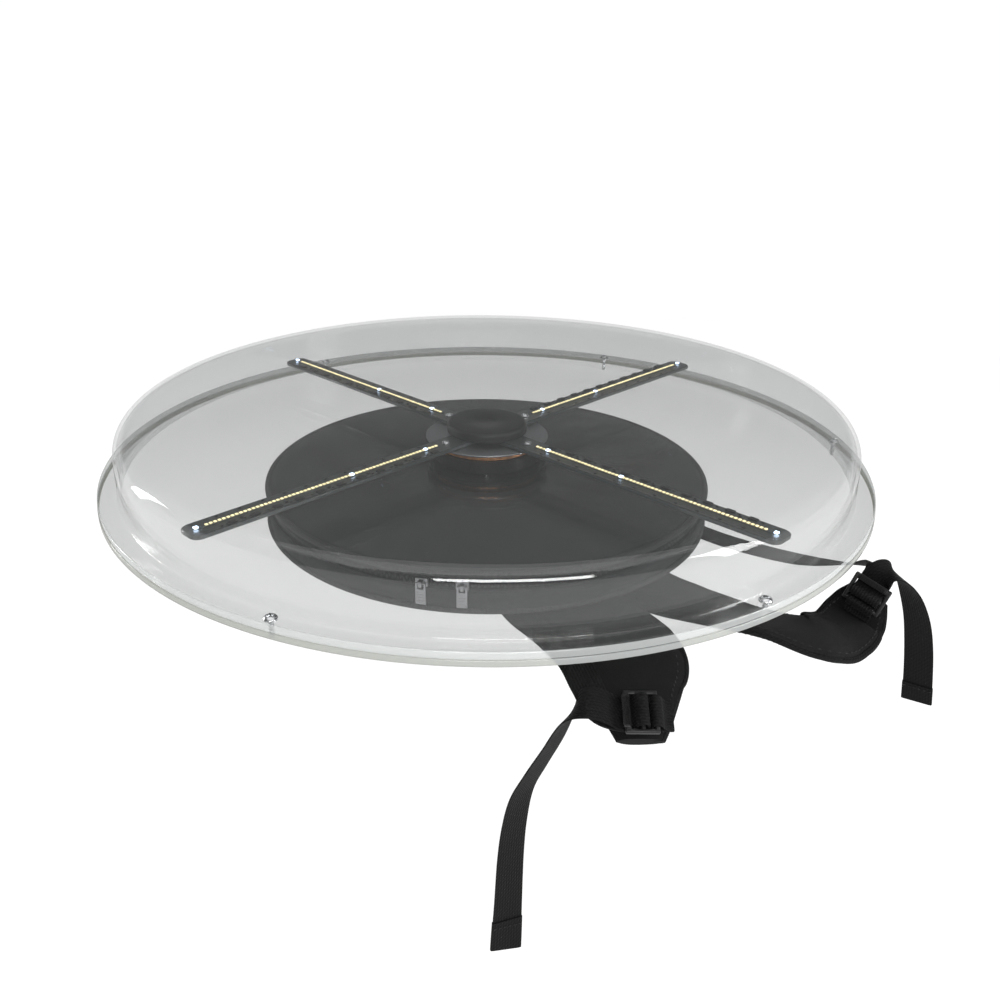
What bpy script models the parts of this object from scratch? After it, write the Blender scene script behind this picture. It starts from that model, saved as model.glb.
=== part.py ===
"""Wearable four-blade fan display: a clear domed cover over a spinning LED fan, carried on a
round zipped fabric pack with two padded shoulder straps.

Metres, +Z towards the dome. The origin is the middle of the pack's flat back panel.
"""

import math

import bmesh
import bpy
import numpy as np
from mathutils import Matrix, Vector

GAP = 0.0003                # clearance between pieces that touch
TURNS = 60                  # facets round the large turned pieces
FINE_TURNS = 20             # facets round the small turned pieces
OVERRUN = 0.0012            # how far a hole's cutter runs past the faces it cuts

# clear covers
COVER_RADIUS = 0.280
REAR_THICK = 0.004
FLANGE_THICK = 0.003
WALL_RADIUS = 0.2664
WALL_THICK = 0.0025
SHOULDER_RADIUS = 0.012
DOME_RISE = 0.0476          # underside of the rear cover to the flat of the dome
LIP_HEIGHT = 0.0015
RIM_SCREW_RING = 0.2725
RIM_SCREW_FIRST = -115.0    # degrees
RIM_SCREW_COUNT = 6
RIM_HOLE = 0.0020           # radii of the clearance holes
BASE_HOLE = 0.0022
CENTRE_HOLE = 0.008         # for the power lead

# pack
PAD_RADIUS = 0.125
PAD_THICK = 0.0140
PACK_RADIUS = 0.165
PACK_TOP = 0.0440
FABRIC = 0.0025
ZIP_LOW = 0.0310
ZIP_HIGH = 0.0380
ZIP_RADIUS = 0.1635
PACK_CORNER = 0.005
PAD_EDGE = 0.004
RIM_Z = 0.0520              # underside of the rear cover
CLAMP_THICK = 0.0030
CLAMP_RADIUS = 0.045
CLAMP_BORE = 0.010
BATTERY_SIZE = (0.140, 0.068, 0.018)
BATTERY_Y = 0.082

# motor and hub
BASE_SCREW_RING = 0.034
CABLE_BORE = 0.0045
MOTOR_RADIUS = 0.040
MOTOR_FLOOR = 0.0030        # thickness of the motor base's floor
CAN_RADIUS = 0.030
CAN_WALL = 0.003
COIL_INNER = 0.0320
COIL_OUTER = 0.0380
COIL_HIGH = 0.0021
SHAFT_RADIUS = 0.0030
SHAFT_BORE = 0.0033
STATOR_SLOTS = 12
HUB_RADIUS = 0.046
BLADE_SCREW_RING = 0.042
BLADE_START = 0.0105
BLADE_TIP = 0.252
BLADE_WIDTH = 0.020
BLADE_THICK = 0.0030
BLADE_COUNT = 4
BLADE_CORNER = 0.006
BLADE_HOLE = 0.0018
CAP_RADIUS = 0.0300
CAP_HIGH = 0.0070
CAP_WALL = 0.002
STRIP_START = 0.050
STRIP_WIDTH = 0.0034
STRIP_THICK = 0.0009

# straps
PADDING = 0.009
WEB_WIDTH = 0.020
WEB_THICK = 0.0010
PULL_LENGTH = 0.0150
WEB_TOP = PAD_THICK - 0.0009  # sewn end of the webbing, just under the pack
LOCK_LENGTH = 0.020         # along the webbing
LOCK_WIDTH = 0.026          # along the bars
LOCK_THICK = 0.0034
SLOT_WIDTH = 0.021

BASE_TOP = RIM_Z + REAR_THICK            # seat of the motor base
FLANGE_LOW = BASE_TOP + GAP
DOME_TOP = RIM_Z + DOME_RISE
HUB_LOW = BASE_TOP + 0.0158
HUB_THICK = 0.0012
BLADE_LOW = HUB_LOW + HUB_THICK + GAP
BLADE_HIGH = BLADE_LOW + BLADE_THICK

BLACK_FABRIC = (0.012, 0.012, 0.014)
BLACK_PLASTIC = (0.010, 0.010, 0.011)
STEEL = (0.55, 0.56, 0.57)
CLEAR = (0.88, 0.92, 0.92)
COPPER = (0.60, 0.25, 0.10)


def clear_scene():
    for obj in list(bpy.data.objects):
        bpy.data.objects.remove(obj, do_unlink=True)


def new_collection(name):
    collection = bpy.data.collections.new(name)
    bpy.context.scene.collection.children.link(collection)
    return collection


clear_scene()
PARTS = new_collection("wearable_fan_display")
CUTTERS = new_collection("cutters")


def finish_material(name, colour, roughness, metallic, alpha=1.0):
    mat = bpy.data.materials.new(name)
    mat.use_nodes = True
    shader = mat.node_tree.nodes["Principled BSDF"]
    shader.inputs["Base Color"].default_value = (*colour, 1.0)
    shader.inputs["Roughness"].default_value = roughness
    shader.inputs["Metallic"].default_value = metallic
    shader.inputs["Alpha"].default_value = alpha
    return mat


def add_part(name, mesh, look):
    """Link a mesh as one sub-part; look is (colour, roughness, metallic) or with alpha."""
    obj = bpy.data.objects.new(name, mesh)
    mesh.materials.append(finish_material(name, *look))
    PARTS.objects.link(obj)
    return obj


def mesh_from(name, bm):
    mesh = bpy.data.meshes.new(name)
    bm.normal_update()
    bm.to_mesh(mesh)
    bm.free()
    return mesh


FABRIC_LOOK = (BLACK_FABRIC, 0.9, 0.0)
PLASTIC_LOOK = (BLACK_PLASTIC, 0.45, 0.0)
STEEL_LOOK = (STEEL, 0.3, 1.0)
CLEAR_LOOK = (CLEAR, 0.06, 0.0, 0.25)
COPPER_LOOK = (COPPER, 0.35, 1.0)


# ---------------------------------------------------------------- building blocks


def arc(centre, radius, start, end, steps=6):
    """Profile points (radius, height) along an arc; angles in degrees."""
    angles = np.radians(np.linspace(start, end, steps + 1))
    return [(centre[0] + radius * math.cos(a), centre[1] + radius * math.sin(a)) for a in angles]


def turned(name, profile, look, steps=FINE_TURNS, closed=False):
    """Spin a profile of (radius, height) about Z; it runs from top to bottom on the outside."""
    bm = bmesh.new()
    verts = [bm.verts.new((r, 0.0, z)) for r, z in profile]
    for a, b in zip(verts, verts[1:]):
        bm.edges.new((a, b))
    if closed:
        bm.edges.new((verts[-1], verts[0]))
    obj = add_part(name, mesh_from(name, bm), look)
    screw = obj.modifiers.new("Screw", "SCREW")
    screw.steps = steps
    screw.render_steps = steps
    screw.use_merge_vertices = True
    screw.merge_threshold = 0.00005
    return obj


def ring(name, inner, outer, low, high, look, steps=FINE_TURNS):
    profile = [(inner, high), (outer, high), (outer, low), (inner, low)]
    return turned(name, profile, look, steps, closed=True)


def disc(name, radius, low, high, look, steps=FINE_TURNS):
    profile = [(0.0, high), (radius, high), (radius, low), (0.0, low)]
    return turned(name, profile, look, steps)


def polar(radius, degrees, z=0.0):
    angle = math.radians(degrees)
    return Vector((radius * math.cos(angle), radius * math.sin(angle), z))


def cylinders_cutter(name, places, radius, low, high):
    """One cutter mesh holding an upright cylinder at each (x, y), run on past low and high."""
    bm = bmesh.new()
    for place in places:
        middle = Matrix.Translation((place[0], place[1], (low + high) / 2))
        bmesh.ops.create_cone(bm, cap_ends=True, segments=16, radius1=radius, radius2=radius,
                              depth=high - low + 2 * OVERRUN, matrix=middle)
    return add_cutter(name, bm)


def boxes_cutter(name, boxes, frame=Matrix.Identity(4)):
    """One cutter mesh holding boxes of (centre, size), placed by a frame."""
    bm = bmesh.new()
    for centre, size in boxes:
        matrix = frame @ Matrix.Translation(centre) @ Matrix.Diagonal((*size, 1.0))
        bmesh.ops.create_cube(bm, size=1.0, matrix=matrix)
    return add_cutter(name, bm)


def add_cutter(name, bm):
    obj = bpy.data.objects.new(name, mesh_from(name, bm))
    obj.hide_render = True
    obj.display_type = "WIRE"
    CUTTERS.objects.link(obj)
    return obj


def cut(obj, cutter):
    mod = obj.modifiers.new("Cut", "BOOLEAN")
    mod.operation = "DIFFERENCE"
    mod.solver = "EXACT"
    mod.object = cutter


def box_mesh(name, size, matrix=Matrix.Identity(4)):
    bm = bmesh.new()
    bmesh.ops.create_cube(bm, size=1.0, matrix=matrix @ Matrix.Diagonal((*size, 1.0)))
    return mesh_from(name, bm)


def soften(obj, width, segments=2):
    bevel = obj.modifiers.new("Bevel", "BEVEL")
    bevel.width = width
    bevel.segments = segments
    bevel.limit_method = "ANGLE"


def screw_part(name, place, seat, head_radius, head_height, shank_radius, tip, look):
    """A pan-head screw at (x, y): the head stands on seat, the shank ends at tip."""
    way = 1.0 if tip < seat else -1.0
    base = seat + way * GAP
    crown = base + way * head_height
    edge = base + way * head_height * 0.5
    profile = [(0.0, crown), (head_radius * 0.7, crown), (head_radius, edge),
               (head_radius, base), (shank_radius, base), (shank_radius, tip), (0.0, tip)]
    if way < 0:
        profile.reverse()
    obj = turned(name, profile, look, steps=12)
    obj.location = (place[0], place[1], 0.0)
    return obj


def smooth_rows(stations, per_span=4):
    """Catmull-Rom rows (centre, width direction, width) through hand-set stations."""
    keys = [np.array([*centre, *Vector(across).normalized(), width])
            for centre, across, width in stations]
    keys = [2 * keys[0] - keys[1]] + keys + [2 * keys[-1] - keys[-2]]
    rows = []
    for p0, p1, p2, p3 in zip(keys, keys[1:], keys[2:], keys[3:]):
        for t in np.linspace(0.0, 1.0, per_span, endpoint=False):
            rows.append(0.5 * (2 * p1 + (p2 - p0) * t + (2 * p0 - 5 * p1 + 4 * p2 - p3) * t**2
                               + (3 * p1 - p0 - 3 * p2 + p3) * t**3))
    rows.append(keys[-2])
    return rows


def ribbon(name, stations, thickness, look, per_span=4):
    """A flat strap bent along its stations: a grid laid on the rows, then thickened."""
    rows = smooth_rows(stations, per_span)
    bm = bmesh.new()
    bmesh.ops.create_grid(bm, x_segments=len(rows) - 1, y_segments=1, size=0.5)
    for vert in bm.verts:
        row = rows[round((vert.co.x + 0.5) * (len(rows) - 1))]
        side = vert.co.y
        vert.co = Vector(row[:3]) + Vector(row[3:6]).normalized() * row[6] * side
    obj = add_part(name, mesh_from(name, bm), look)
    solidify = obj.modifiers.new("Solidify", "SOLIDIFY")
    solidify.thickness = thickness
    solidify.offset = 0.0
    return obj


# ---------------------------------------------------------------- covers


def rim_places():
    pitch = 360.0 / RIM_SCREW_COUNT
    return [polar(RIM_SCREW_RING, RIM_SCREW_FIRST + pitch * k) for k in range(RIM_SCREW_COUNT)]


def base_places():
    return [polar(BASE_SCREW_RING, 90.0 * k) for k in range(4)]


def build_covers():
    rear = ring("rear_cover", CENTRE_HOLE, COVER_RADIUS, RIM_Z, BASE_TOP, CLEAR_LOOK, TURNS)
    cut(rear, cylinders_cutter("rear_rim_holes", rim_places(), RIM_HOLE, RIM_Z, BASE_TOP))
    cut(rear, cylinders_cutter("rear_base_holes", base_places(), BASE_HOLE, RIM_Z, BASE_TOP))

    flange_top = FLANGE_LOW + FLANGE_THICK
    inner = WALL_RADIUS - WALL_THICK
    shoulder = (WALL_RADIUS - SHOULDER_RADIUS, DOME_TOP - SHOULDER_RADIUS)
    profile = [(0.0, DOME_TOP)]
    profile += arc(shoulder, SHOULDER_RADIUS, 90, 0)
    profile += [(WALL_RADIUS, flange_top), (COVER_RADIUS - 0.0025, flange_top),
                (COVER_RADIUS - 0.0018, flange_top + LIP_HEIGHT),
                (COVER_RADIUS, flange_top + LIP_HEIGHT),
                (COVER_RADIUS, FLANGE_LOW), (inner, FLANGE_LOW)]
    profile += arc(shoulder, SHOULDER_RADIUS - WALL_THICK, 0, 90)
    profile += [(0.0, DOME_TOP - WALL_THICK)]
    front = turned("front_cover", profile, CLEAR_LOOK, TURNS)
    cut(front, cylinders_cutter("front_rim_holes", rim_places(), RIM_HOLE, FLANGE_LOW, flange_top))

    for number, place in enumerate(rim_places(), 1):
        screw_part(f"rim_screw_{number}", place, flange_top, 0.0040, 0.0024, 0.0015,
                   RIM_Z - 0.0040, STEEL_LOOK)


# ---------------------------------------------------------------- pack


def build_pack():
    pad_top = PAD_THICK - GAP
    profile = [(0.0, pad_top), (PAD_RADIUS, pad_top)]
    profile += arc((PAD_RADIUS - PAD_EDGE, PAD_EDGE), PAD_EDGE, 0, -90, 4)
    profile += [(0.0, 0.0)]
    turned("back_pad", profile, FABRIC_LOOK, TURNS)

    inner = PACK_RADIUS - FABRIC
    floor = PAD_THICK + FABRIC
    low_centre = (PACK_RADIUS - PACK_CORNER, PAD_THICK + PACK_CORNER)
    profile = [(0.0, floor)] + arc(low_centre, PACK_CORNER - FABRIC, -90, 0, 4)
    profile += [(inner, ZIP_LOW - GAP), (PACK_RADIUS, ZIP_LOW - GAP)]
    profile += arc(low_centre, PACK_CORNER, 0, -90, 4) + [(0.0, PAD_THICK)]
    turned("pack_back", profile, FABRIC_LOOK, TURNS)

    ring("zipper", ZIP_RADIUS - FABRIC, ZIP_RADIUS, ZIP_LOW, ZIP_HIGH, FABRIC_LOOK, TURNS)

    ceiling = PACK_TOP - FABRIC
    top_centre = (PACK_RADIUS - PACK_CORNER, PACK_TOP - PACK_CORNER)
    profile = [(CENTRE_HOLE, PACK_TOP)] + arc(top_centre, PACK_CORNER, 90, 0, 4)
    profile += [(PACK_RADIUS, ZIP_HIGH + GAP), (inner, ZIP_HIGH + GAP)]
    profile += arc(top_centre, PACK_CORNER - FABRIC, 0, 90, 4) + [(CENTRE_HOLE, ceiling)]
    front = turned("pack_front", profile, FABRIC_LOOK, TURNS, closed=True)
    cut(front, cylinders_cutter("pack_screw_holes", base_places(), BASE_HOLE, ceiling, PACK_TOP))

    battery = add_part("battery_pack", box_mesh("battery_pack", BATTERY_SIZE), PLASTIC_LOOK)
    battery.location = (0.0, BATTERY_Y, floor + GAP + BATTERY_SIZE[2] / 2)
    soften(battery, 0.003)


def build_carrier():
    """Clamp plate inside the pack, spacer outside it, and the screws through both."""
    ceiling = PACK_TOP - FABRIC
    clamp_low = ceiling - GAP - CLAMP_THICK
    clamp = ring("clamp_plate", CLAMP_BORE, CLAMP_RADIUS, clamp_low, ceiling - GAP, STEEL_LOOK, TURNS)
    boss = ring("mount_spacer", CLAMP_BORE, CLAMP_RADIUS, PACK_TOP + GAP, RIM_Z - GAP, PLASTIC_LOOK, TURNS)
    holes = cylinders_cutter("carrier_holes", base_places(), BASE_HOLE, clamp_low, RIM_Z)
    cut(clamp, holes)
    cut(boss, holes)
    for number, place in enumerate(base_places(), 1):
        screw_part(f"base_screw_{number}", place, clamp_low, 0.0036, 0.0024, 0.0017,
                   BASE_TOP + 0.0028, STEEL_LOOK)


def build_power_lead():
    """The lead from the battery up through the middle of the covers into the motor base."""
    curve = bpy.data.curves.new("power_lead", "CURVE")
    curve.dimensions = "3D"
    curve.bevel_depth = 0.0015
    curve.bevel_resolution = 2
    curve.resolution_u = 3
    curve.use_fill_caps = True
    route = [(0.0, 0.0475, 0.0270), (0.0, 0.038, 0.0260), (0.0, 0.020, 0.0240),
             (0.0, 0.004, 0.0290), (0.0, 0.0, 0.0400), (0.0, 0.0, 0.0500), (0.0, 0.0, 0.0570)]
    spline = curve.splines.new("NURBS")
    spline.points.add(len(route) - 1)
    for point, place in zip(spline.points, route):
        point.co = (*place, 1.0)
    spline.use_endpoint_u = True
    spline.order_u = 4
    obj = bpy.data.objects.new("power_lead", curve)
    curve.materials.append(finish_material("power_lead", BLACK_PLASTIC, 0.5, 0.0))
    PARTS.objects.link(obj)


# ---------------------------------------------------------------- motor and fan


def build_motor():
    seat = BASE_TOP + GAP
    floor = seat + MOTOR_FLOOR
    wall_top = BASE_TOP + 0.0100
    tube = 0.0090
    bore = 0.0068
    well = COIL_INNER - 0.0005
    profile = [(well, wall_top), (MOTOR_RADIUS, wall_top), (MOTOR_RADIUS, seat),
               (CABLE_BORE, seat), (CABLE_BORE, floor), (bore, floor), (bore, floor + 0.0100),
               (tube, floor + 0.0100), (tube, floor), (well, floor)]
    base = turned("motor_base", profile, PLASTIC_LOOK, TURNS, closed=True)
    cut(base, cylinders_cutter("base_thread_holes", base_places(), RIM_HOLE, seat, floor))

    for name, low in (("fixed_coil", wall_top + GAP), ("rotating_coil", HUB_LOW - GAP - COIL_HIGH)):
        ring(name, COIL_INNER, COIL_OUTER, low, low + COIL_HIGH, COPPER_LOOK, 36)

    for name, low in (("lower_bearing", floor + GAP), ("upper_bearing", floor + 0.0058)):
        ring(name, SHAFT_BORE, bore - GAP, low, low + 0.0040, STEEL_LOOK)
    disc("motor_shaft", SHAFT_RADIUS, floor - 0.0006, BLADE_LOW - GAP, STEEL_LOOK)

    stator = ring("motor_stator", tube + GAP, 0.0240, floor + 0.0012, floor + 0.0086, STEEL_LOOK, 72)
    bm = bmesh.new()
    slot_size = Matrix.Diagonal((0.012, 0.0028, 0.020, 1.0))
    for k in range(STATOR_SLOTS):
        turn = Matrix.Rotation(math.tau * k / STATOR_SLOTS, 4, "Z")
        middle = Matrix.Translation((0.0195, 0.0, floor + 0.005))
        bmesh.ops.create_cube(bm, size=1.0, matrix=turn @ middle @ slot_size)
    cut(stator, add_cutter("stator_slots", bm))

    can_top = HUB_LOW - GAP
    can_low = floor + 0.0010
    roof = can_top - 0.0017
    profile = [(SHAFT_BORE, can_top), (CAN_RADIUS, can_top), (CAN_RADIUS, can_low),
               (CAN_RADIUS - CAN_WALL, can_low), (CAN_RADIUS - CAN_WALL, roof), (SHAFT_BORE, roof)]
    turned("rotor_can", profile, STEEL_LOOK, 36, closed=True)


def blade_turn(k):
    return Matrix.Rotation(math.radians(45.0 + 90.0 * k), 4, "Z")


def blade_screw_places():
    return [polar(BLADE_SCREW_RING, 45.0 + 90.0 * k) for k in range(BLADE_COUNT)]


def build_blade(k):
    length = BLADE_TIP - BLADE_START
    middle = Matrix.Translation(((BLADE_START + BLADE_TIP) / 2, 0.0, (BLADE_LOW + BLADE_HIGH) / 2))
    bm = bmesh.new()
    size = Matrix.Diagonal((length, BLADE_WIDTH, BLADE_THICK, 1.0))
    bmesh.ops.create_cube(bm, size=1.0, matrix=middle @ size)
    tips = [e for e in bm.edges if all(v.co.x > BLADE_TIP - 0.001 for v in e.verts)
            and abs(e.verts[0].co.z - e.verts[1].co.z) > BLADE_THICK / 2]
    bmesh.ops.bevel(bm, geom=tips, offset=BLADE_CORNER, segments=3, profile=0.5, affect="EDGES")
    blade = add_part(f"led_blade_{k + 1}", mesh_from(f"led_blade_{k + 1}", bm), PLASTIC_LOOK)
    blade.matrix_world = blade_turn(k)
    place = blade_screw_places()[k]
    cut(blade, cylinders_cutter(f"blade_hole_{k + 1}", [place], BLADE_HOLE, BLADE_LOW, BLADE_HIGH))

    strip_length = BLADE_TIP - BLADE_CORNER - STRIP_START
    strip_name = f"led_strip_{k + 1}"
    strip = add_part(strip_name, box_mesh(strip_name, (strip_length, STRIP_WIDTH, STRIP_THICK)),
                     ((0.85, 0.80, 0.50), 0.4, 0.0))
    strip_middle = (STRIP_START + strip_length / 2, 0.0, BLADE_HIGH + GAP + STRIP_THICK / 2)
    strip.matrix_world = blade_turn(k) @ Matrix.Translation(strip_middle)
    soften(strip, 0.0003, 1)


def build_fan():
    hub_top = HUB_LOW + HUB_THICK
    plate = ring("hub_plate", SHAFT_BORE, HUB_RADIUS, HUB_LOW, hub_top, STEEL_LOOK, TURNS)
    cut(plate, cylinders_cutter("hub_plate_holes", blade_screw_places(), BLADE_HOLE, HUB_LOW, hub_top))
    for k in range(BLADE_COUNT):
        build_blade(k)
        screw_part(f"blade_screw_{k + 1}", blade_screw_places()[k], BLADE_HIGH, 0.0030, 0.0016,
                   0.0015, HUB_LOW - 0.0008, STEEL_LOOK)
    board_low = BLADE_HIGH + GAP
    disc("hub_board", 0.0260, board_low, board_low + 0.0016, ((0.02, 0.10, 0.05), 0.5, 0.0), 36)
    cap_top = board_low + CAP_HIGH
    edge = 0.003
    inner = CAP_RADIUS - CAP_WALL
    profile = [(0.0, cap_top)] + arc((CAP_RADIUS - edge, cap_top - edge), edge, 90, 0, 4)
    profile += [(CAP_RADIUS, board_low), (inner, board_low), (inner, cap_top - CAP_WALL)]
    profile += [(0.0, cap_top - CAP_WALL)]
    turned("hub_cap", profile, PLASTIC_LOOK, 36)


# ---------------------------------------------------------------- zip


def build_zip_slider(number, degrees):
    """The slider rides on the zip; its pull hangs from a bridge on the slider."""
    middle = (ZIP_LOW + ZIP_HIGH) / 2
    turn = Matrix.Rotation(math.radians(degrees), 4, "Z")
    name = f"zip_slider_{number}"
    size = (0.0024, 0.0085, 0.0062)
    body = Matrix.Translation((ZIP_RADIUS + GAP + size[0] / 2, 0.0, middle))
    slider = add_part(name, box_mesh(name, size, body), STEEL_LOOK)
    slider.matrix_world = turn
    block = ((ZIP_RADIUS + 0.0040, 0.0, middle), (0.0048, 0.0026, 0.0044))
    bridge = boxes_cutter(f"zip_bridge_{number}", [block], turn)
    union = slider.modifiers.new("Bridge", "BOOLEAN")
    union.operation = "UNION"
    union.solver = "EXACT"
    union.object = bridge
    depth = ZIP_RADIUS + 0.0042
    eye = ((depth, 0.0, middle), (0.0020, 0.0060, 0.0022))
    cut(slider, boxes_cutter(f"zip_eye_{number}", [eye], turn))

    pull_name = f"zip_pull_{number}"
    top = middle + 0.00055
    pull_mesh = box_mesh(pull_name, (0.0014, 0.0070, PULL_LENGTH),
                         Matrix.Translation((depth, 0.0, top - PULL_LENGTH / 2)))
    pull = add_part(pull_name, pull_mesh, STEEL_LOOK)
    pull.matrix_world = turn
    window = ((depth, 0.0, middle - 0.0019), (0.0100, 0.0036, 0.0032))
    cut(pull, boxes_cutter(f"pull_window_{number}", [window], turn))


# ---------------------------------------------------------------- straps


def lock_frame(centre, along, bars):
    """Frame of a ladder lock: X along the webbing, Y along its bars, Z out of its face."""
    x = Vector(along).normalized()
    y = Vector(bars)
    y = (y - x * y.dot(x)).normalized()
    z = x.cross(y)
    matrix = Matrix((x, y, z)).transposed().to_4x4()
    matrix.translation = Vector(centre)
    return matrix


STRAP_FACE = -0.0065        # the padded strap's face below the lock's middle

FRAME_A = lock_frame((0.0910, -0.2278, -0.0126), (-1.0, 0.0, 0.0), (0.0, -0.863, -0.506))
FRAME_B = lock_frame((0.2560, -0.1210, 0.0060), (0.36, -0.02, 0.933), (-0.74, 0.60, 0.30))


def on_lock(frame, points, width):
    """Stations given as (along, out) in a lock's own frame; the width runs towards +Y."""
    across = frame.col[1].xyz * (1.0 if frame.col[1].y > 0.0 else -1.0)
    return [(frame @ Vector((s, 0.0, n)), across, width) for s, n in points]


def build_lock(letter, frame):
    name = f"ladder_lock_{letter}"
    lock = add_part(name, box_mesh(name, (LOCK_LENGTH, LOCK_WIDTH, LOCK_THICK)), PLASTIC_LOOK)
    lock.matrix_world = frame
    soften(lock, 0.0007, 1)
    slots = [((-0.0045, 0.0, 0.0), (0.0054, SLOT_WIDTH, 0.02)),
             ((0.0037, 0.0, 0.0), (0.0054, SLOT_WIDTH, 0.02))]
    cut(lock, boxes_cutter(f"lock_slots_{letter}", slots, frame))

    sewn = STRAP_FACE + GAP + WEB_THICK / 2
    upper = sewn + WEB_THICK + GAP
    loop = [(-0.0190, sewn), (-0.0145, sewn), (-0.0110, -0.0043), (-0.0084, -0.0034),
            (-0.0064, -0.0022), (-0.0059, 0.0), (-0.0066, 0.0024), (-0.0086, 0.0034),
            (-0.0112, 0.0018), (-0.0130, -0.0014), (-0.0152, -0.0036), (-0.0190, upper)]
    ribbon(f"lock_loop_{letter}", on_lock(frame, loop, 0.0190), WEB_THICK, FABRIC_LOOK, 3)


def threaded(frame):
    """The webbing's way through the lock: under it, up round the middle bar, out under the end bar."""
    load = [(0.0120, -0.0046), (0.0040, -0.0046), (-0.0015, -0.0044), (-0.0037, -0.0026),
            (-0.0039, 0.0008), (-0.0032, 0.0042), (-0.0004, 0.0056), (0.0024, 0.0042),
            (0.0036, 0.0008), (0.0050, -0.0018), (0.0085, -0.0028), (0.0120, -0.0028)]
    return on_lock(frame, load, WEB_WIDTH)


def build_strap_a():
    across = (0.866, 0.50, 0.0)
    stations = [
        ((-0.1050, 0.0900, PAD_THICK - GAP), across, 0.060),
        ((-0.1050, 0.0900, 0.0040), across, 0.060),
        ((-0.1015, 0.0850, -0.0090), across, 0.060),
        ((-0.0900, 0.0720, -0.0170), across, 0.061),
        ((-0.0200, -0.0120, -0.0240), (0.83, 0.56, 0.0), 0.064),
        ((0.0400, -0.0780, -0.0170), (0.86, 0.50, 0.0), 0.064),
        ((0.0640, -0.1140, -0.0100), (0.90, 0.43, 0.0), 0.064),
        ((0.0815, -0.1560, -0.0040), (0.93, 0.37, 0.0), 0.070),
        ((0.0905, -0.1850, -0.0045), (0.97, 0.24, 0.0), 0.069),
        ((0.0905, -0.2045, -0.0120), (1.0, 0.03, 0.0), 0.057),
        ((0.0910, -0.2220, -0.02255), (1.0, 0.0, 0.0), 0.040),
        ((0.0910, -0.2335, -0.02928), (1.0, 0.0, 0.0), 0.027),
    ]
    ribbon("shoulder_strap_a", stations, PADDING, FABRIC_LOOK)
    build_lock("a", FRAME_A)

    to_pack = [
        ((0.0130, -0.1440, WEB_TOP), (0.81, 0.59, 0.0), WEB_WIDTH),
        ((0.0235, -0.1560, 0.0066), (0.81, 0.59, 0.0), WEB_WIDTH),
        ((0.0385, -0.1735, 0.0034), (0.82, 0.57, 0.0), WEB_WIDTH),
        ((0.0525, -0.1955, 0.0018), (0.75, 0.64, 0.15), WEB_WIDTH),
        ((0.0600, -0.2125, -0.0045), (0.45, 0.80, 0.38), WEB_WIDTH),
        ((0.0670, -0.2240, -0.0125), (0.12, 0.85, 0.50), WEB_WIDTH),
    ]
    hanging = [
        ((0.0670, -0.2265, -0.0085), (0.12, 0.85, 0.50), WEB_WIDTH),
        ((0.0580, -0.2275, -0.0075), (0.35, 0.80, 0.48), WEB_WIDTH),
        ((0.0495, -0.2270, -0.0160), (0.62, 0.70, 0.35), WEB_WIDTH),
        ((0.0405, -0.2260, -0.0370), (0.72, 0.68, 0.12), WEB_WIDTH),
        ((0.0310, -0.2260, -0.0560), (0.74, 0.67, 0.0), WEB_WIDTH),
        ((0.0230, -0.2260, -0.0740), (0.76, 0.65, 0.0), WEB_WIDTH),
        ((0.0190, -0.2260, -0.0960), (0.80, 0.60, 0.0), WEB_WIDTH),
        ((0.0170, -0.2260, -0.1220), (0.84, 0.54, 0.0), WEB_WIDTH),
        ((0.0160, -0.2260, -0.1600), (0.90, 0.44, 0.0), WEB_WIDTH),
        ((0.0150, -0.2260, -0.2000), (0.98, 0.20, 0.0), WEB_WIDTH),
    ]
    ribbon("webbing_a", to_pack + threaded(FRAME_A) + hanging, WEB_THICK, FABRIC_LOOK, 3)


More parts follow.
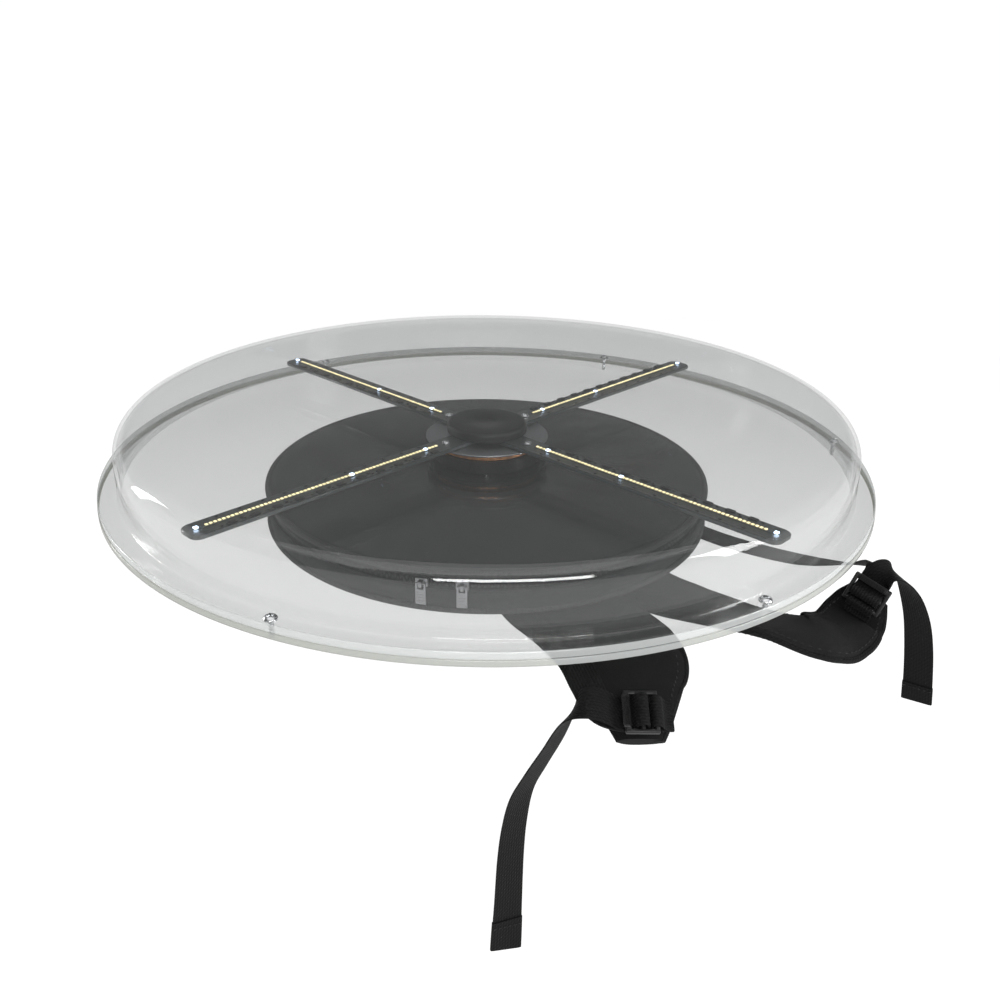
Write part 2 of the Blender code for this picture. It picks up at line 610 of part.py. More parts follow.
def build_strap_b():
    across = (0.866, 0.50, 0.0)
    stations = [
        ((-0.0250, 0.1360, PAD_THICK - GAP), across, 0.060),
        ((-0.0250, 0.1360, 0.0040), across, 0.060),
        ((-0.0218, 0.1310, -0.0090), across, 0.060),
        ((-0.0120, 0.1170, -0.0170), across, 0.061),
        ((0.0520, 0.0190, -0.0250), (0.83, 0.56, 0.0), 0.064),
        ((0.1080, -0.0600, -0.0200), (0.82, 0.56, -0.05), 0.064),
        ((0.1320, -0.0900, -0.0160), (0.76, 0.64, -0.10), 0.064),
        ((0.1620, -0.1120, -0.0140), (0.58, 0.79, -0.20), 0.062),
        ((0.1910, -0.1260, -0.0150), (0.36, 0.90, -0.24), 0.058),
        ((0.2200, -0.1350, -0.0190), (0.22, 0.97, -0.02), 0.052),
        ((0.2410, -0.1240, -0.0230), (-0.27, 0.93, 0.20), 0.046),
    ]
    stations += on_lock(FRAME_B, [(-0.0240, STRAP_FACE - PADDING / 2)], 0.042)
    stations += on_lock(FRAME_B, [(-0.0130, STRAP_FACE - PADDING / 2)], 0.036)
    stations += on_lock(FRAME_B, [(-0.0030, STRAP_FACE - PADDING / 2)], 0.026)
    ribbon("shoulder_strap_b", stations, PADDING, FABRIC_LOOK)
    build_lock("b", FRAME_B)

    to_pack = [
        ((0.1420, -0.0150, WEB_TOP), (-0.50, -0.86, 0.0), WEB_WIDTH),
        ((0.1540, -0.0220, 0.0070), (-0.50, -0.86, 0.0), WEB_WIDTH),
        ((0.1850, -0.0420, 0.0030), (-0.50, -0.86, 0.0), WEB_WIDTH),
        ((0.2250, -0.0680, 0.0040), (-0.55, -0.83, 0.05), WEB_WIDTH),
        ((0.2540, -0.0880, 0.0110), (-0.72, -0.60, 0.30), WEB_WIDTH),
        ((0.2660, -0.1010, 0.0180), (-0.92, -0.10, 0.38), WEB_WIDTH),
        ((0.2665, -0.1115, 0.0200), (-0.82, 0.45, 0.32), WEB_WIDTH),
    ]
    hanging = [
        ((0.2650, -0.1210, 0.0215), (-0.60, 0.78, 0.25), WEB_WIDTH),
        ((0.2710, -0.1230, 0.0230), (-0.30, 0.94, 0.15), WEB_WIDTH),
        ((0.2790, -0.1230, 0.0160), (-0.30, 0.95, 0.0), WEB_WIDTH),
        ((0.2860, -0.1220, 0.0040), (-0.45, 0.89, -0.10), WEB_WIDTH),
        ((0.2930, -0.1210, -0.0140), (-0.60, 0.80, -0.10), WEB_WIDTH),
        ((0.2980, -0.1200, -0.0350), (-0.70, 0.71, -0.08), WEB_WIDTH),
        ((0.3015, -0.1200, -0.0580), (-0.74, 0.67, -0.05), WEB_WIDTH),
        ((0.3040, -0.1200, -0.0800), (-0.80, 0.60, 0.0), WEB_WIDTH),
    ]
    ribbon("webbing_b", to_pack + threaded(FRAME_B) + hanging, WEB_THICK, FABRIC_LOOK, 3)


build_covers()
build_pack()
build_carrier()
build_power_lead()
build_motor()
build_fan()
build_zip_slider(1, -104.0)
build_zip_slider(2, -95.0)
build_strap_a()
build_strap_b()
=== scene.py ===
"""Looks for the wearable fan display: clear covers, lit blades, sewn pack and straps, built round the
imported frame. Metres, in the frame's own axes: +Z out through the dome, the pack's back panel at z = 0."""

import math

import bmesh
import bpy
import numpy as np
from mathutils import Matrix, Vector, noise


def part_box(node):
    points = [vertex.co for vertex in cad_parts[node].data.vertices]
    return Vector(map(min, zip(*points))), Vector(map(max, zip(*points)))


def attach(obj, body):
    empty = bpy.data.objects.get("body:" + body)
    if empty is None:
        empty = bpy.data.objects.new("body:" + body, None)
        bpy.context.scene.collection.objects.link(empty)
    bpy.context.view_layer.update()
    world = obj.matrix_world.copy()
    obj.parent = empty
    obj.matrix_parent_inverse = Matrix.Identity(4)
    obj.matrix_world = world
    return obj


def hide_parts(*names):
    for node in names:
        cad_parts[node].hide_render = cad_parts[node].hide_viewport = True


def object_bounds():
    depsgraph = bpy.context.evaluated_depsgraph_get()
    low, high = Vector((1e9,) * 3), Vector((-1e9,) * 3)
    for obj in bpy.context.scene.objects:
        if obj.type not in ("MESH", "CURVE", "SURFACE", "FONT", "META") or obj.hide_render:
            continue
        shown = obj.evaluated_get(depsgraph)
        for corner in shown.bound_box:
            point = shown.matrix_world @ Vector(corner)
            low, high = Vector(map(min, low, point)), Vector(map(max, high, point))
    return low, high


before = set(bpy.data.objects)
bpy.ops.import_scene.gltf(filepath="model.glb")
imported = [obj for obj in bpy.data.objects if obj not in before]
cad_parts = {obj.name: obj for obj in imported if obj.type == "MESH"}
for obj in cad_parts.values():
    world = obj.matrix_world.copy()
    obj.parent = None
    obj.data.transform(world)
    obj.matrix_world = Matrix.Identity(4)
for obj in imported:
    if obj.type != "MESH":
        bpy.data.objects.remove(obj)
CAD_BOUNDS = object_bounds()

CARRIER = "carrier"
FAN = "fan"
TURN = math.tau


def link(obj):
    bpy.context.scene.collection.objects.link(obj)


def node_box(node):
    """A node's lowest and highest corners."""
    low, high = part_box(node)
    return Vector(low), Vector(high)


# ---- sizes read from the frame

REAR_LOW, REAR_HIGH = node_box("rear_cover")
FRONT_LOW, FRONT_HIGH = node_box("front_cover")
PAD_HIGH = node_box("back_pad")[1]
PACK_LOW, PACK_HIGH = node_box("pack_back")[0], node_box("pack_front")[1]
ZIP_LOW, ZIP_HIGH = node_box("zipper")
BLADE_LOW, BLADE_HIGH = node_box("led_blade_1")
HUB_LOW, HUB_HIGH = node_box("hub_plate")
CAP_LOW, CAP_HIGH = node_box("hub_cap")

# The CAD's driving sizes, and other places that the nodes' boxes don't give, in metres and degrees.
COVER_RADIUS = FRONT_HIGH.x
FLANGE_THICK = 0.003
WALL_THICK = 0.0025
WALL_RADIUS = 0.2664
SHOULDER = 0.012
LIP = 0.0015
RIM_RING = 0.2725
RIM_FIRST = -115.0
RIM_SCREWS = 6
BLADES = 4
GAP = 0.0003
PACK_RADIUS = PACK_HIGH.x
PAD_RADIUS = PAD_HIGH.x
FABRIC = 0.0025
PACK_SEAM = ZIP_LOW.z - GAP
BLADE_START = 0.0105
BLADE_TIP = 0.252
BLADE_WIDTH = 0.02
LIGHTS_START = 0.05
BLADE_SCREW_RING = 0.042
PADDING = 0.009
WEB_WIDTH = 0.02
WEB_THICK = 0.001
LOCK_FACE = -0.0065


# ---- camera and light


def build_camera():
    """The photograph's viewpoint, aimed at the middle of the rear cover's underside."""
    aim = Vector((0.0, 0.0, REAR_LOW.z))
    distance = 2.7662 * COVER_RADIUS
    elevation = math.radians(22.3)
    roll = 0.0084
    place = aim + Vector((0.0, -math.cos(elevation), math.sin(elevation))) * distance
    data = bpy.data.cameras.new("camera")
    data.lens = 36.47
    data.sensor_width = 36.0
    data.shift_x = 0.0133
    data.shift_y = -0.0409
    data.clip_start = 0.01
    camera = bpy.data.objects.new("camera", data)
    turn = (aim - place).to_track_quat("-Z", "Y").to_matrix().to_4x4()
    camera.matrix_world = Matrix.Translation(place) @ turn @ Matrix.Rotation(roll, 4, "Z")
    link(camera)
    bpy.context.scene.camera = camera


def area_light(name, place, size, power):
    """A white softbox of a width and height, turned to face the fan."""
    data = bpy.data.lights.new(name, "AREA")
    data.shape = "RECTANGLE"
    data.size, data.size_y = size
    data.energy = power
    lamp = bpy.data.objects.new(name, data)
    aim = (Vector((0.0, 0.0, 0.05)) - Vector(place)).to_track_quat("-Z", "Y")
    lamp.matrix_world = Matrix.Translation(place) @ aim.to_matrix().to_4x4()
    link(lamp)


def build_light():
    """White sweep up to just above the horizon, a dim ceiling, and softboxes over and beside the fan."""
    world = bpy.data.worlds.new("studio")
    bpy.context.scene.world = world
    world.use_nodes = True
    tree = world.node_tree
    way = tree.nodes.new("ShaderNodeTexCoord")
    parts = tree.nodes.new("ShaderNodeSeparateXYZ")
    fade = tree.nodes.new("ShaderNodeMapRange")
    limits = {"From Min": 0.13, "From Max": 0.26, "To Min": 1.02, "To Max": 0.2}
    for name, value in limits.items():
        fade.inputs[name].default_value = value
    tree.links.new(way.outputs["Generated"], parts.inputs[0])
    tree.links.new(parts.outputs["Z"], fade.inputs["Value"])
    tree.links.new(fade.outputs[0], tree.nodes["Background"].inputs["Strength"])
    tree.nodes["Background"].inputs["Color"].default_value = (1.0, 1.0, 1.0, 1.0)
    area_light("overhead", (0.0, -0.1, 2.6), (3.2, 3.2), 42.0)
    area_light("strip_left", (-1.6, 0.5, 0.45), (0.22, 0.8), 8.0)
    area_light("strip_right", (1.5, -0.6, 0.65), (0.4, 1.0), 18.0)
    area_light("strip_near", (0.25, -1.9, 1.15), (1.5, 0.5), 40.0)
    bpy.context.scene.view_settings.view_transform = "Standard"


# ---- materials


class Look:
    """A material being built: node() adds a node, feeds its inputs and returns it."""

    def __init__(self, name):
        self.material = bpy.data.materials.new(name)
        self.material.use_nodes = True
        self.tree = self.material.node_tree
        self.shader = self.tree.nodes["Principled BSDF"]
        self.output = self.tree.nodes["Material Output"]

    def node(self, kind, feeds=None, **settings):
        made = self.tree.nodes.new(kind)
        for key, value in settings.items():
            setattr(made, key, value)
        for key, value in (feeds or {}).items():
            self.feed(made.inputs[key], value)
        return made

    def feed(self, socket, value):
        """Link a socket or a node's first output to a socket, or set a plain value on it."""
        if isinstance(value, bpy.types.NodeSocket):
            self.tree.links.new(value, socket)
        elif isinstance(value, bpy.types.Node):
            self.tree.links.new(value.outputs[0], socket)
        else:
            socket.default_value = value

    def set(self, **values):
        """Feed the Principled shader's sockets by name, as base_color or ior."""
        for key, value in values.items():
            self.feed(self.shader.inputs[key.replace("_", " ").title().replace("Ior", "IOR")], value)
        return self

    def place(self, uv=False):
        """The point being shaded: its place in the frame, or its UVs in metres."""
        return self.node("ShaderNodeTexCoord").outputs["UV" if uv else "Object"]

    def noise(self, scale, detail=4.0, uv=False, rough=0.55):
        feeds = {"Vector": self.place(uv), "Scale": scale, "Detail": detail, "Roughness": rough}
        return self.node("ShaderNodeTexNoise", feeds)

    def wave(self, scale, direction="X", vector=None, profile="SIN", distortion=0.0):
        feeds = {"Vector": vector or self.place(), "Scale": scale, "Distortion": distortion}
        return self.node("ShaderNodeTexWave", feeds, bands_direction=direction, wave_profile=profile)

    def math(self, operation, a, b=0.0):
        made = self.node("ShaderNodeMath", operation=operation)
        self.feed(made.inputs[0], a)
        self.feed(made.inputs[1], b)
        return made

    def ramp(self, source, low, high, start=0.0, end=1.0):
        made = self.node("ShaderNodeValToRGB", {"Fac": source})
        made.color_ramp.elements[0].position = start
        made.color_ramp.elements[1].position = end
        made.color_ramp.elements[0].color = (*low, 1.0)
        made.color_ramp.elements[1].color = (*high, 1.0)
        return made

    def span(self, source, low, high, start=0.0, end=1.0):
        """Map source from start..end to low..high."""
        feeds = {"Value": source, "From Min": start, "From Max": end, "To Min": low, "To Max": high}
        return self.node("ShaderNodeMapRange", feeds)

    def bump(self, height, strength, distance, onto=None):
        """Bump the shader's normal by a height, on top of an earlier bump if one is given."""
        feeds = {"Height": height, "Strength": strength, "Distance": distance}
        if onto is not None:
            feeds["Normal"] = onto
        made = self.node("ShaderNodeBump", feeds)
        self.feed(self.shader.inputs["Normal"], made)
        return made


def radius_of(look):
    """Distance from the fan's axis."""
    flat = look.node("ShaderNodeVectorMath", {0: look.place(), 1: (1.0, 1.0, 0.0)}, operation="MULTIPLY")
    length = look.node("ShaderNodeVectorMath", {0: flat}, operation="LENGTH")
    return length.outputs["Value"]


def scaled(colour, part):
    return tuple(c * part for c in colour)


def clear_look(name, tint, rim_tint, rim_start):
    """Clear sheet: see-through face on, glossy at a glance, with a darker sawn or moulded rim."""
    look = Look(name)
    rim = look.span(radius_of(look), 0.0, 1.0, rim_start, rim_start + 0.0006)
    body = look.node("ShaderNodeMix", {"Factor": rim}, data_type="RGBA")
    look.feed(body.inputs[6], (*tint, 1.0))
    look.feed(body.inputs[7], (*rim_tint, 1.0))
    see = look.node("ShaderNodeBsdfTransparent", {"Color": body.outputs[2]})
    haze = look.noise(26.0, 6.0)
    look.set(base_color=(0.8, 0.83, 0.82, 1.0), ior=1.49)
    look.feed(look.shader.inputs["Roughness"], look.span(haze, 0.02, 0.07))
    wavy = look.bump(look.noise(6.0, 0.0), 0.2, 0.003)
    # The gloss is 3.5% face on and rises to 63.5% edge on, as Schlick's curve does.
    graze = look.node("ShaderNodeLayerWeight", {"Blend": 0.5, "Normal": wavy}).outputs["Facing"]
    glance = look.math("ADD", look.math("MULTIPLY", look.math("POWER", graze, 5.0), 0.6), 0.035)
    gloss = look.node("ShaderNodeBsdfGlossy", {"Roughness": 0.035, "Normal": wavy})
    veil = look.node("ShaderNodeMixShader", {"Fac": look.span(rim, 0.01, 0.3)})
    look.feed(veil.inputs[1], see)
    look.feed(veil.inputs[2], look.shader)
    mix = look.node("ShaderNodeMixShader", {"Fac": glance})
    look.feed(mix.inputs[1], veil)
    look.feed(mix.inputs[2], gloss)
    look.feed(look.output.inputs["Surface"], mix)
    return look.material


# A Wave texture of scale 1 repeats every 0.314 m, so at this scale over the pitch a thread repeats
# every 0.63 pitches.
WEAVE_SCALE = 3.14 / 6.283


def weave_look(name, colour, pitch, sheen, specular=0.12):
    """Plain-woven cloth on a piece whose UVs are in metres."""
    look = Look(name)
    place = look.place(uv=True)
    warp = look.wave(WEAVE_SCALE / pitch, "X", place)
    weft = look.wave(WEAVE_SCALE / pitch, "Y", place)
    threads = look.math("MAXIMUM", warp.outputs[1], weft.outputs[1])
    wear = look.noise(38.0, 5.0)
    fuzz = look.noise(900.0, 3.0)
    worn = look.math("MULTIPLY", threads, wear)
    shade = look.ramp(worn, scaled(colour, 0.55), colour, 0.1, 0.62)
    look.set(base_color=shade, specular_ior_level=specular)
    look.set(sheen_weight=sheen, sheen_roughness=0.45, roughness=look.span(fuzz, 0.72, 0.98))
    soft = look.bump(fuzz, 0.3, 0.0003)
    look.bump(threads, 0.65, 0.0004, soft)
    return look.material


def ripstop_look(name, colour):
    """Coarse pack cloth that needs no UVs: crossed threads in the frame's X, Y and Z."""
    look = Look(name)
    waves = [look.wave(520.0, way).outputs[1] for way in "XYZ"]
    crossed = look.math("MULTIPLY", waves[0], waves[1])
    threads = look.math("ADD", crossed, look.math("MULTIPLY", waves[2], 0.5))
    cloud = look.noise(14.0, 5.0)
    fuzz = look.noise(1100.0, 2.0)
    worn = look.math("MULTIPLY", threads, cloud)
    shade = look.ramp(worn, scaled(colour, 0.6), colour, 0.05, 0.6)
    look.set(base_color=shade, specular_ior_level=0.12)
    look.set(sheen_weight=0.05, sheen_roughness=0.5, roughness=look.span(fuzz, 0.74, 0.97))
    soft = look.bump(cloud, 0.35, 0.0015)
    look.bump(threads, 0.55, 0.0004, soft)
    return look.material


def webbing_look(name, dark=0.0012, light=0.0055, specular=0.14):
    """Strap webbing: fine ribs along its length crossed by a slanting weft."""
    look = Look(name)
    place = look.place(uv=True)
    ribs = look.wave(170.0, "Y", place)
    twill = look.wave(210.0, "DIAGONAL", place, distortion=0.4)
    slant = look.math("MULTIPLY", twill.outputs[1], 0.5)
    threads = look.math("ADD", look.math("MULTIPLY", ribs.outputs[1], 0.7), slant)
    cloud = look.noise(60.0, 4.0)
    worn = look.math("MULTIPLY", threads, cloud)
    shade = look.ramp(worn, (dark, dark, dark), (light, light, light), 0.1, 0.75)
    look.set(base_color=shade, specular_ior_level=specular)
    look.set(sheen_weight=0.02, sheen_roughness=0.4, roughness=look.span(cloud, 0.62, 0.85))
    look.bump(threads, 0.7, 0.0004)
    return look.material


def plastic_look(name, colour, rough=0.42, grain=1400.0):
    """Moulded plastic: a little uneven in colour and gloss, with a fine grain."""
    look = Look(name)
    cloud = look.noise(45.0, 5.0)
    fine = look.noise(grain, 3.0)
    shade = look.ramp(cloud, scaled(colour, 0.8), scaled(colour, 1.25), 0.3, 0.7)
    look.set(base_color=shade, specular_ior_level=0.3)
    look.set(roughness=look.span(cloud, rough - 0.08, rough + 0.14))
    look.bump(fine, 0.25, 0.0002)
    return look.material


def metal_look(name, colour, rough, rings=False):
    """Metal with a fine grain, which runs in rings about the fan's axis on a turned part."""
    look = Look(name)
    if rings:
        feeds = {"Scale": 900.0, "Detail": 2.0, "W": radius_of(look)}
        lines = look.node("ShaderNodeTexNoise", feeds, noise_dimensions="1D")
    else:
        lines = look.noise(700.0, 3.0)
    shade = look.ramp(lines, scaled(colour, 0.75), colour, 0.25, 0.75)
    look.set(base_color=shade, metallic=1.0)
    look.set(roughness=look.span(lines, rough - 0.08, rough + 0.12))
    look.bump(lines, 0.12, 0.0002)
    return look.material


def winding_look(name):
    """Enamelled copper turns, one ring beside the next."""
    look = Look(name)
    wire = 0.0006
    turns = look.math("SINE", look.math("MULTIPLY", radius_of(look), TURN / wire))
    height = look.span(turns, 0.0, 1.0, -1.0, 1.0)
    # Painted shade and highlight: the colour follows each turn's height, dark in the grooves between turns
    # and light on their crowns.
    shade = look.ramp(height, (0.25, 0.08, 0.03), (0.72, 0.33, 0.14))
    look.set(base_color=shade, metallic=0.9, roughness=0.3, coat_weight=0.4)
    look.bump(turns, 0.5, 0.0003)
    return look.material


def board_look(name, colour):
    """Dark circuit board: lacquered, with faint tracks running along it and a speckle of vias."""
    look = Look(name)
    place = look.place(uv=True)
    feeds = {"Vector": place, "Scale": 95.0, "Mortar Size": 0.06}
    for socket, part in (("Color1", 1.0), ("Color2", 1.5), ("Mortar", 3.2)):
        feeds[socket] = (*scaled(colour, part), 1.0)
    tracks = look.node("ShaderNodeTexBrick", feeds)
    vias = look.node("ShaderNodeTexVoronoi", {"Vector": place, "Scale": 260.0})
    dots = look.span(vias, 1.0, 0.0, 0.05, 0.12)
    faint = look.math("MULTIPLY", dots, 0.35)
    shade = look.node("ShaderNodeMix", {"Factor": faint}, data_type="RGBA")
    look.feed(shade.inputs[6], tracks)
    look.feed(shade.inputs[7], (0.2, 0.17, 0.1, 1.0))
    look.set(base_color=shade.outputs[2], roughness=0.32, coat_weight=0.5, coat_roughness=0.12)
    look.bump(tracks.outputs[1], 0.2, 0.0002)
    return look.material


def light_look(name, colour, strength):
    """Glowing boxes of one colour, some a little brighter than others: the lit diode row, and the blue
    painted glints.
    """
    look = Look(name)
    cells = look.noise(260.0, 1.0)
    glow = look.ramp(cells, scaled(colour, 0.6), colour, 0.3, 0.7)
    look.set(base_color=glow, roughness=0.35, emission_strength=strength)
    look.feed(look.shader.inputs["Emission Color"], glow)
    return look.material


def floor_look():
    """Pale grey that also glows, so that the floor meets the white world without a seam."""
    look = Look("floor")
    cloud = look.noise(1.5, 3.0)
    shade = look.ramp(cloud, (0.2, 0.2, 0.2), (0.23, 0.23, 0.23), 0.3, 0.7)
    look.set(base_color=shade, roughness=0.7, emission_strength=0.85)
    look.feed(look.shader.inputs["Emission Color"], (1.0, 1.0, 1.0, 1.0))
    return look.material


DOME = clear_look("clear_dome", (0.908, 0.911, 0.911), (0.66, 0.67, 0.66), 0.2785)
PLATE = clear_look("clear_plate", (0.94, 0.942, 0.94), (0.24, 0.24, 0.19), 0.2788)
PACK_CLOTH = weave_look("pack_cloth", (0.017, 0.017, 0.018), 0.0009, 0.06, 0.28)
PAD_CLOTH = ripstop_look("pad_cloth", (0.01, 0.01, 0.01))
STRAP_CLOTH = weave_look("strap_cloth", (0.0055, 0.0055, 0.0055), 0.0008, 0.03)
BINDING = webbing_look("binding_tape")
WEBBING = webbing_look("strap_webbing")
PIPING = webbing_look("pack_piping", 0.012, 0.045, 0.45)
THREAD = weave_look("sewing_thread", (0.026, 0.026, 0.027), 0.0003, 0.2)
PLASTIC = plastic_look("moulded_black", (0.006, 0.006, 0.006))
DARK_PLASTIC = plastic_look("battery_case", (0.02, 0.02, 0.022), 0.5, 900.0)
RUBBER = plastic_look("lead_jacket", (0.01, 0.01, 0.01), 0.6, 600.0)
STEEL = metal_look("bright_steel", (0.62, 0.63, 0.64), 0.24)
ALUMINIUM = metal_look("turned_aluminium", (0.38, 0.39, 0.4), 0.34, rings=True)
BLACK_METAL = metal_look("black_nickel", (0.045, 0.045, 0.048), 0.3)
NICKEL = metal_look("pull_nickel", (0.34, 0.34, 0.35), 0.3)
LAMINATION = metal_look("stator_steel", (0.22, 0.22, 0.23), 0.42)
COPPER = winding_look("copper_turns")
BOARD = board_look("blade_board", (0.012, 0.014, 0.014))
CHIP = plastic_look("chip_case", (0.016, 0.016, 0.017), 0.35, 2200.0)
WARM_LIGHT = light_look("warm_diode", (1.0, 0.88, 0.5), 1.3)
# The blue material is a painted glint: small boxes that glow blue-white in place of the star glints on the
# blades, not lamps of the fan.
PAINTED_GLINT_GLOW = light_look("painted_blue_glint", (0.62, 0.78, 1.0), 9.0)


# ---- mesh building


def finish_piece(name, bm, material, body, smooth=40.0):
    """Turn a bmesh into a shaded piece that rides on a body and takes a material slot."""
    mesh = bpy.data.meshes.new(name)
    bm.to_mesh(mesh)
    bm.free()
    mesh.polygons.foreach_set("use_smooth", [True] * len(mesh.polygons))
    mesh.set_sharp_from_angle(angle=math.radians(smooth))
    mesh.materials.append(material)
    piece = bpy.data.objects.new(name, mesh)
    link(piece)
    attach(piece, body)
    return piece


def lattice(points, close_rows=False, close_columns=True, caps=True):
    """A closed skin over points[row][column], with UVs in metres along rows and columns."""
    points = np.asarray(points, float)
    rows, columns = points.shape[:2]
    bm = bmesh.new()
    uv = bm.loops.layers.uv.new("UVMap")
    verts = [[bm.verts.new(points[i, j]) for j in range(columns)] for i in range(rows)]
    along = np.zeros((rows + 1, columns))
    along[1:] = np.cumsum(np.linalg.norm(np.roll(points, -1, 0) - points, axis=2), 0)
    across = np.zeros((rows, columns + 1))
    across[:, 1:] = np.cumsum(np.linalg.norm(np.roll(points, -1, 1) - points, axis=2), 1)
    middle = np.mean(across, 0)
    length = np.mean(along, 1)
    for i in range(rows if close_rows else rows - 1):
        for j in range(columns if close_columns else columns - 1):
            near, far = (i + 1) % rows, (j + 1) % columns
            face = bm.faces.new((verts[i][j], verts[near][j], verts[near][far], verts[i][far]))
            corners = ((i, j), (i + 1, j), (i + 1, j + 1), (i, j + 1))
            for loop, (a, b) in zip(face.loops, corners):
                loop[uv].uv = (length[a], middle[b])
    if caps and not close_rows:
        for row in (verts[0], verts[-1][::-1]):
            bm.faces.new(row)
    bmesh.ops.remove_doubles(bm, verts=bm.verts, dist=1e-6)
    bmesh.ops.recalc_face_normals(bm, faces=bm.faces)
    return bm


def arc(centre, radius, start, end, steps):
    """Points round a circle from one angle to another, in degrees."""
    angles = np.radians(np.linspace(start, end, steps + 1))
    return [(centre[0] + radius * math.cos(a), centre[1] + radius * math.sin(a)) for a in angles]


def turned(profile, segments, closed=True, ripple=None):
    """Spin a (radius, height) profile about Z; ripple(radius, angle, height) may move each point up."""
    angles = np.linspace(0.0, TURN, segments, endpoint=False)
    points = []
    for r, z in profile:
        lift = [ripple(r, a, z) if ripple else 0.0 for a in angles]
        points.append([(r * math.cos(a), r * math.sin(a), z + up) for a, up in zip(angles, lift)])
    return lattice(points, close_rows=closed, caps=False)


class Kit:
    """Many small solids gathered into one mesh; each shape is made once and placed by matrix."""

    shapes = {}

    def __init__(self):
        self.verts = []
        self.faces = []

    def add(self, key, make, matrix):
        """Place the shape that key names, making it first if no kit has."""
        if key not in Kit.shapes:
            bm = bmesh.new()
            make(bm)
            bm.verts.index_update()
            corners = [v.co.copy() for v in bm.verts]
            Kit.shapes[key] = (corners, [[v.index for v in f.verts] for f in bm.faces])
            bm.free()
        verts, faces = Kit.shapes[key]
        base = len(self.verts)
        self.verts.extend(matrix @ vert for vert in verts)
        self.faces.extend([base + number for number in face] for face in faces)

    def finish(self, name, material, body, smooth=35.0):
        """Turn the gathered solids into one piece."""
        mesh = bpy.data.meshes.new(name)
        mesh.from_pydata(self.verts, [], self.faces)
        bm = bmesh.new()
        bm.from_mesh(mesh)
        bpy.data.meshes.remove(mesh)
        return finish_piece(name, bm, material, body, smooth)


def rounded_box(kit, size, matrix, radius, segments=1):
    """Add a box whose edges are bevelled to a radius."""
    size = tuple(round(float(v), 6) for v in size)

    def make(bm):
        bmesh.ops.create_cube(bm, size=1.0, matrix=Matrix.Diagonal((*size, 1.0)))
        edges = bm.edges[:]
        bmesh.ops.bevel(bm, geom=edges, offset=radius, segments=segments, profile=0.5, affect="EDGES")

    kit.add(("box", size, radius, segments), make, matrix)


def shift(x, y, z):
    return Matrix.Translation((x, y, z))


def spin(degrees):
    """Turn about the fan's axis."""
    return Matrix.Rotation(math.radians(degrees), 4, "Z")


def smooth_rows(stations, per_span):
    """Catmull-Rom rows (centre, width direction, width) through the strap's stations."""
    keys = [np.array([*centre, *Vector(across).normalized(), width]) for centre, across, width in stations]
    keys = [2 * keys[0] - keys[1]] + keys + [2 * keys[-1] - keys[-2]]
    rows = []
    for p0, p1, p2, p3 in zip(keys, keys[1:], keys[2:], keys[3:]):
        for t in np.linspace(0.0, 1.0, per_span, endpoint=False):
            rows.append(0.5 * (2 * p1 + (p2 - p0) * t + (2 * p0 - 5 * p1 + 4 * p2 - p3) * t**2
                               + (3 * p1 - p0 - 3 * p2 + p3) * t**3))
    rows.append(keys[-2])
    return np.array(rows)


def row_frames(rows):
    """Centres, width directions, face normals and widths of a strap's rows."""
    centre, width = rows[:, :3], rows[:, 6]
    along = np.gradient(centre, axis=0)
    along /= np.linalg.norm(along, axis=1)[:, None]
    across = rows[:, 3:6] - along * np.sum(rows[:, 3:6] * along, axis=1)[:, None]
    across /= np.linalg.norm(across, axis=1)[:, None]
    return centre, across, np.cross(along, across), width


# How flat-topped a strap's section is, how fast it falls to its edge, and half the edge's thickness.
SECTIONS = {"padded": (2.6, 0.5, 0.17), "flat": (14.0, 0.3, 0.3)}


def section(kind, points):
    """Closed cross-section as (part of width, part of thickness) pairs."""
    flatness, fall, edge = SECTIONS[kind]
    upper = []
    for u in np.cos(np.linspace(math.pi, 0.0, points)):
        rise = 0.5 * (1.0 - abs(u) ** flatness) ** fall
        upper.append((u / 2, max(rise, edge)))
    return upper + [(u, -v) for u, v in upper[::-1]]


def strap(rows, thickness, kind, points):
    """Sweep a cross-section along a strap's rows."""
    centre, across, face, width = row_frames(rows)
    outline = section(kind, points)
    skin = [[c + a * w * u + f * thickness * v for u, v in outline]
            for c, a, f, w in zip(centre, across, face, width)]
    return lattice(skin)


def stitches(kit, places, directions, lifts, length=0.0024, radius=0.00032):
    """Short thread loops: one stretched bead at each place, lying along its direction."""

    def make(bm):
        bmesh.ops.create_uvsphere(bm, u_segments=6, v_segments=4, radius=1.0,
                                  matrix=Matrix.Diagonal((length / 2, radius, radius, 1.0)))

    for place, way, lift in zip(places, directions, lifts):
        x = Vector(way).normalized()
        z = Vector(lift).normalized()
        turn = Matrix((x, z.cross(x), z)).transposed().to_4x4()
        turn.translation = Vector(place)
        kit.add(("bead", length, radius), make, turn)


def even_steps(rows, pitch):
    """Row positions at even distances along a strap, as fractional row numbers."""
    run = np.concatenate(([0.0], np.cumsum(np.linalg.norm(np.diff(rows[:, :3], axis=0), axis=1))))
    marks = np.arange(pitch, run[-1] - pitch, pitch)
    return np.interp(marks, run, np.arange(len(rows)))


def at_row(vectors, mark):
    """A vector between a strap's rows, at a fractional row number."""
    number = np.arange(len(vectors))
    return np.array([np.interp(mark, number, vectors[:, k]) for k in range(3)])


def sew_line(kit, rows, offset, lift, pitch=0.0036):
    """A line of stitches along a strap at a part of its width, on the face side of lift's sign."""
    centre, across, face, width = row_frames(rows)
    number = np.arange(len(rows))
    for mark in even_steps(rows, pitch):
        c, a, f = (at_row(vectors, mark) for vectors in (centre, across, face))
        w = float(np.interp(mark, number, width))
        way = at_row(centre, mark + 0.5) - c
        if np.linalg.norm(way) > 1e-6:
            stitches(kit, [c + a * w * offset + f * lift], [way], [f * math.copysign(1.0, lift)])


# ---- covers


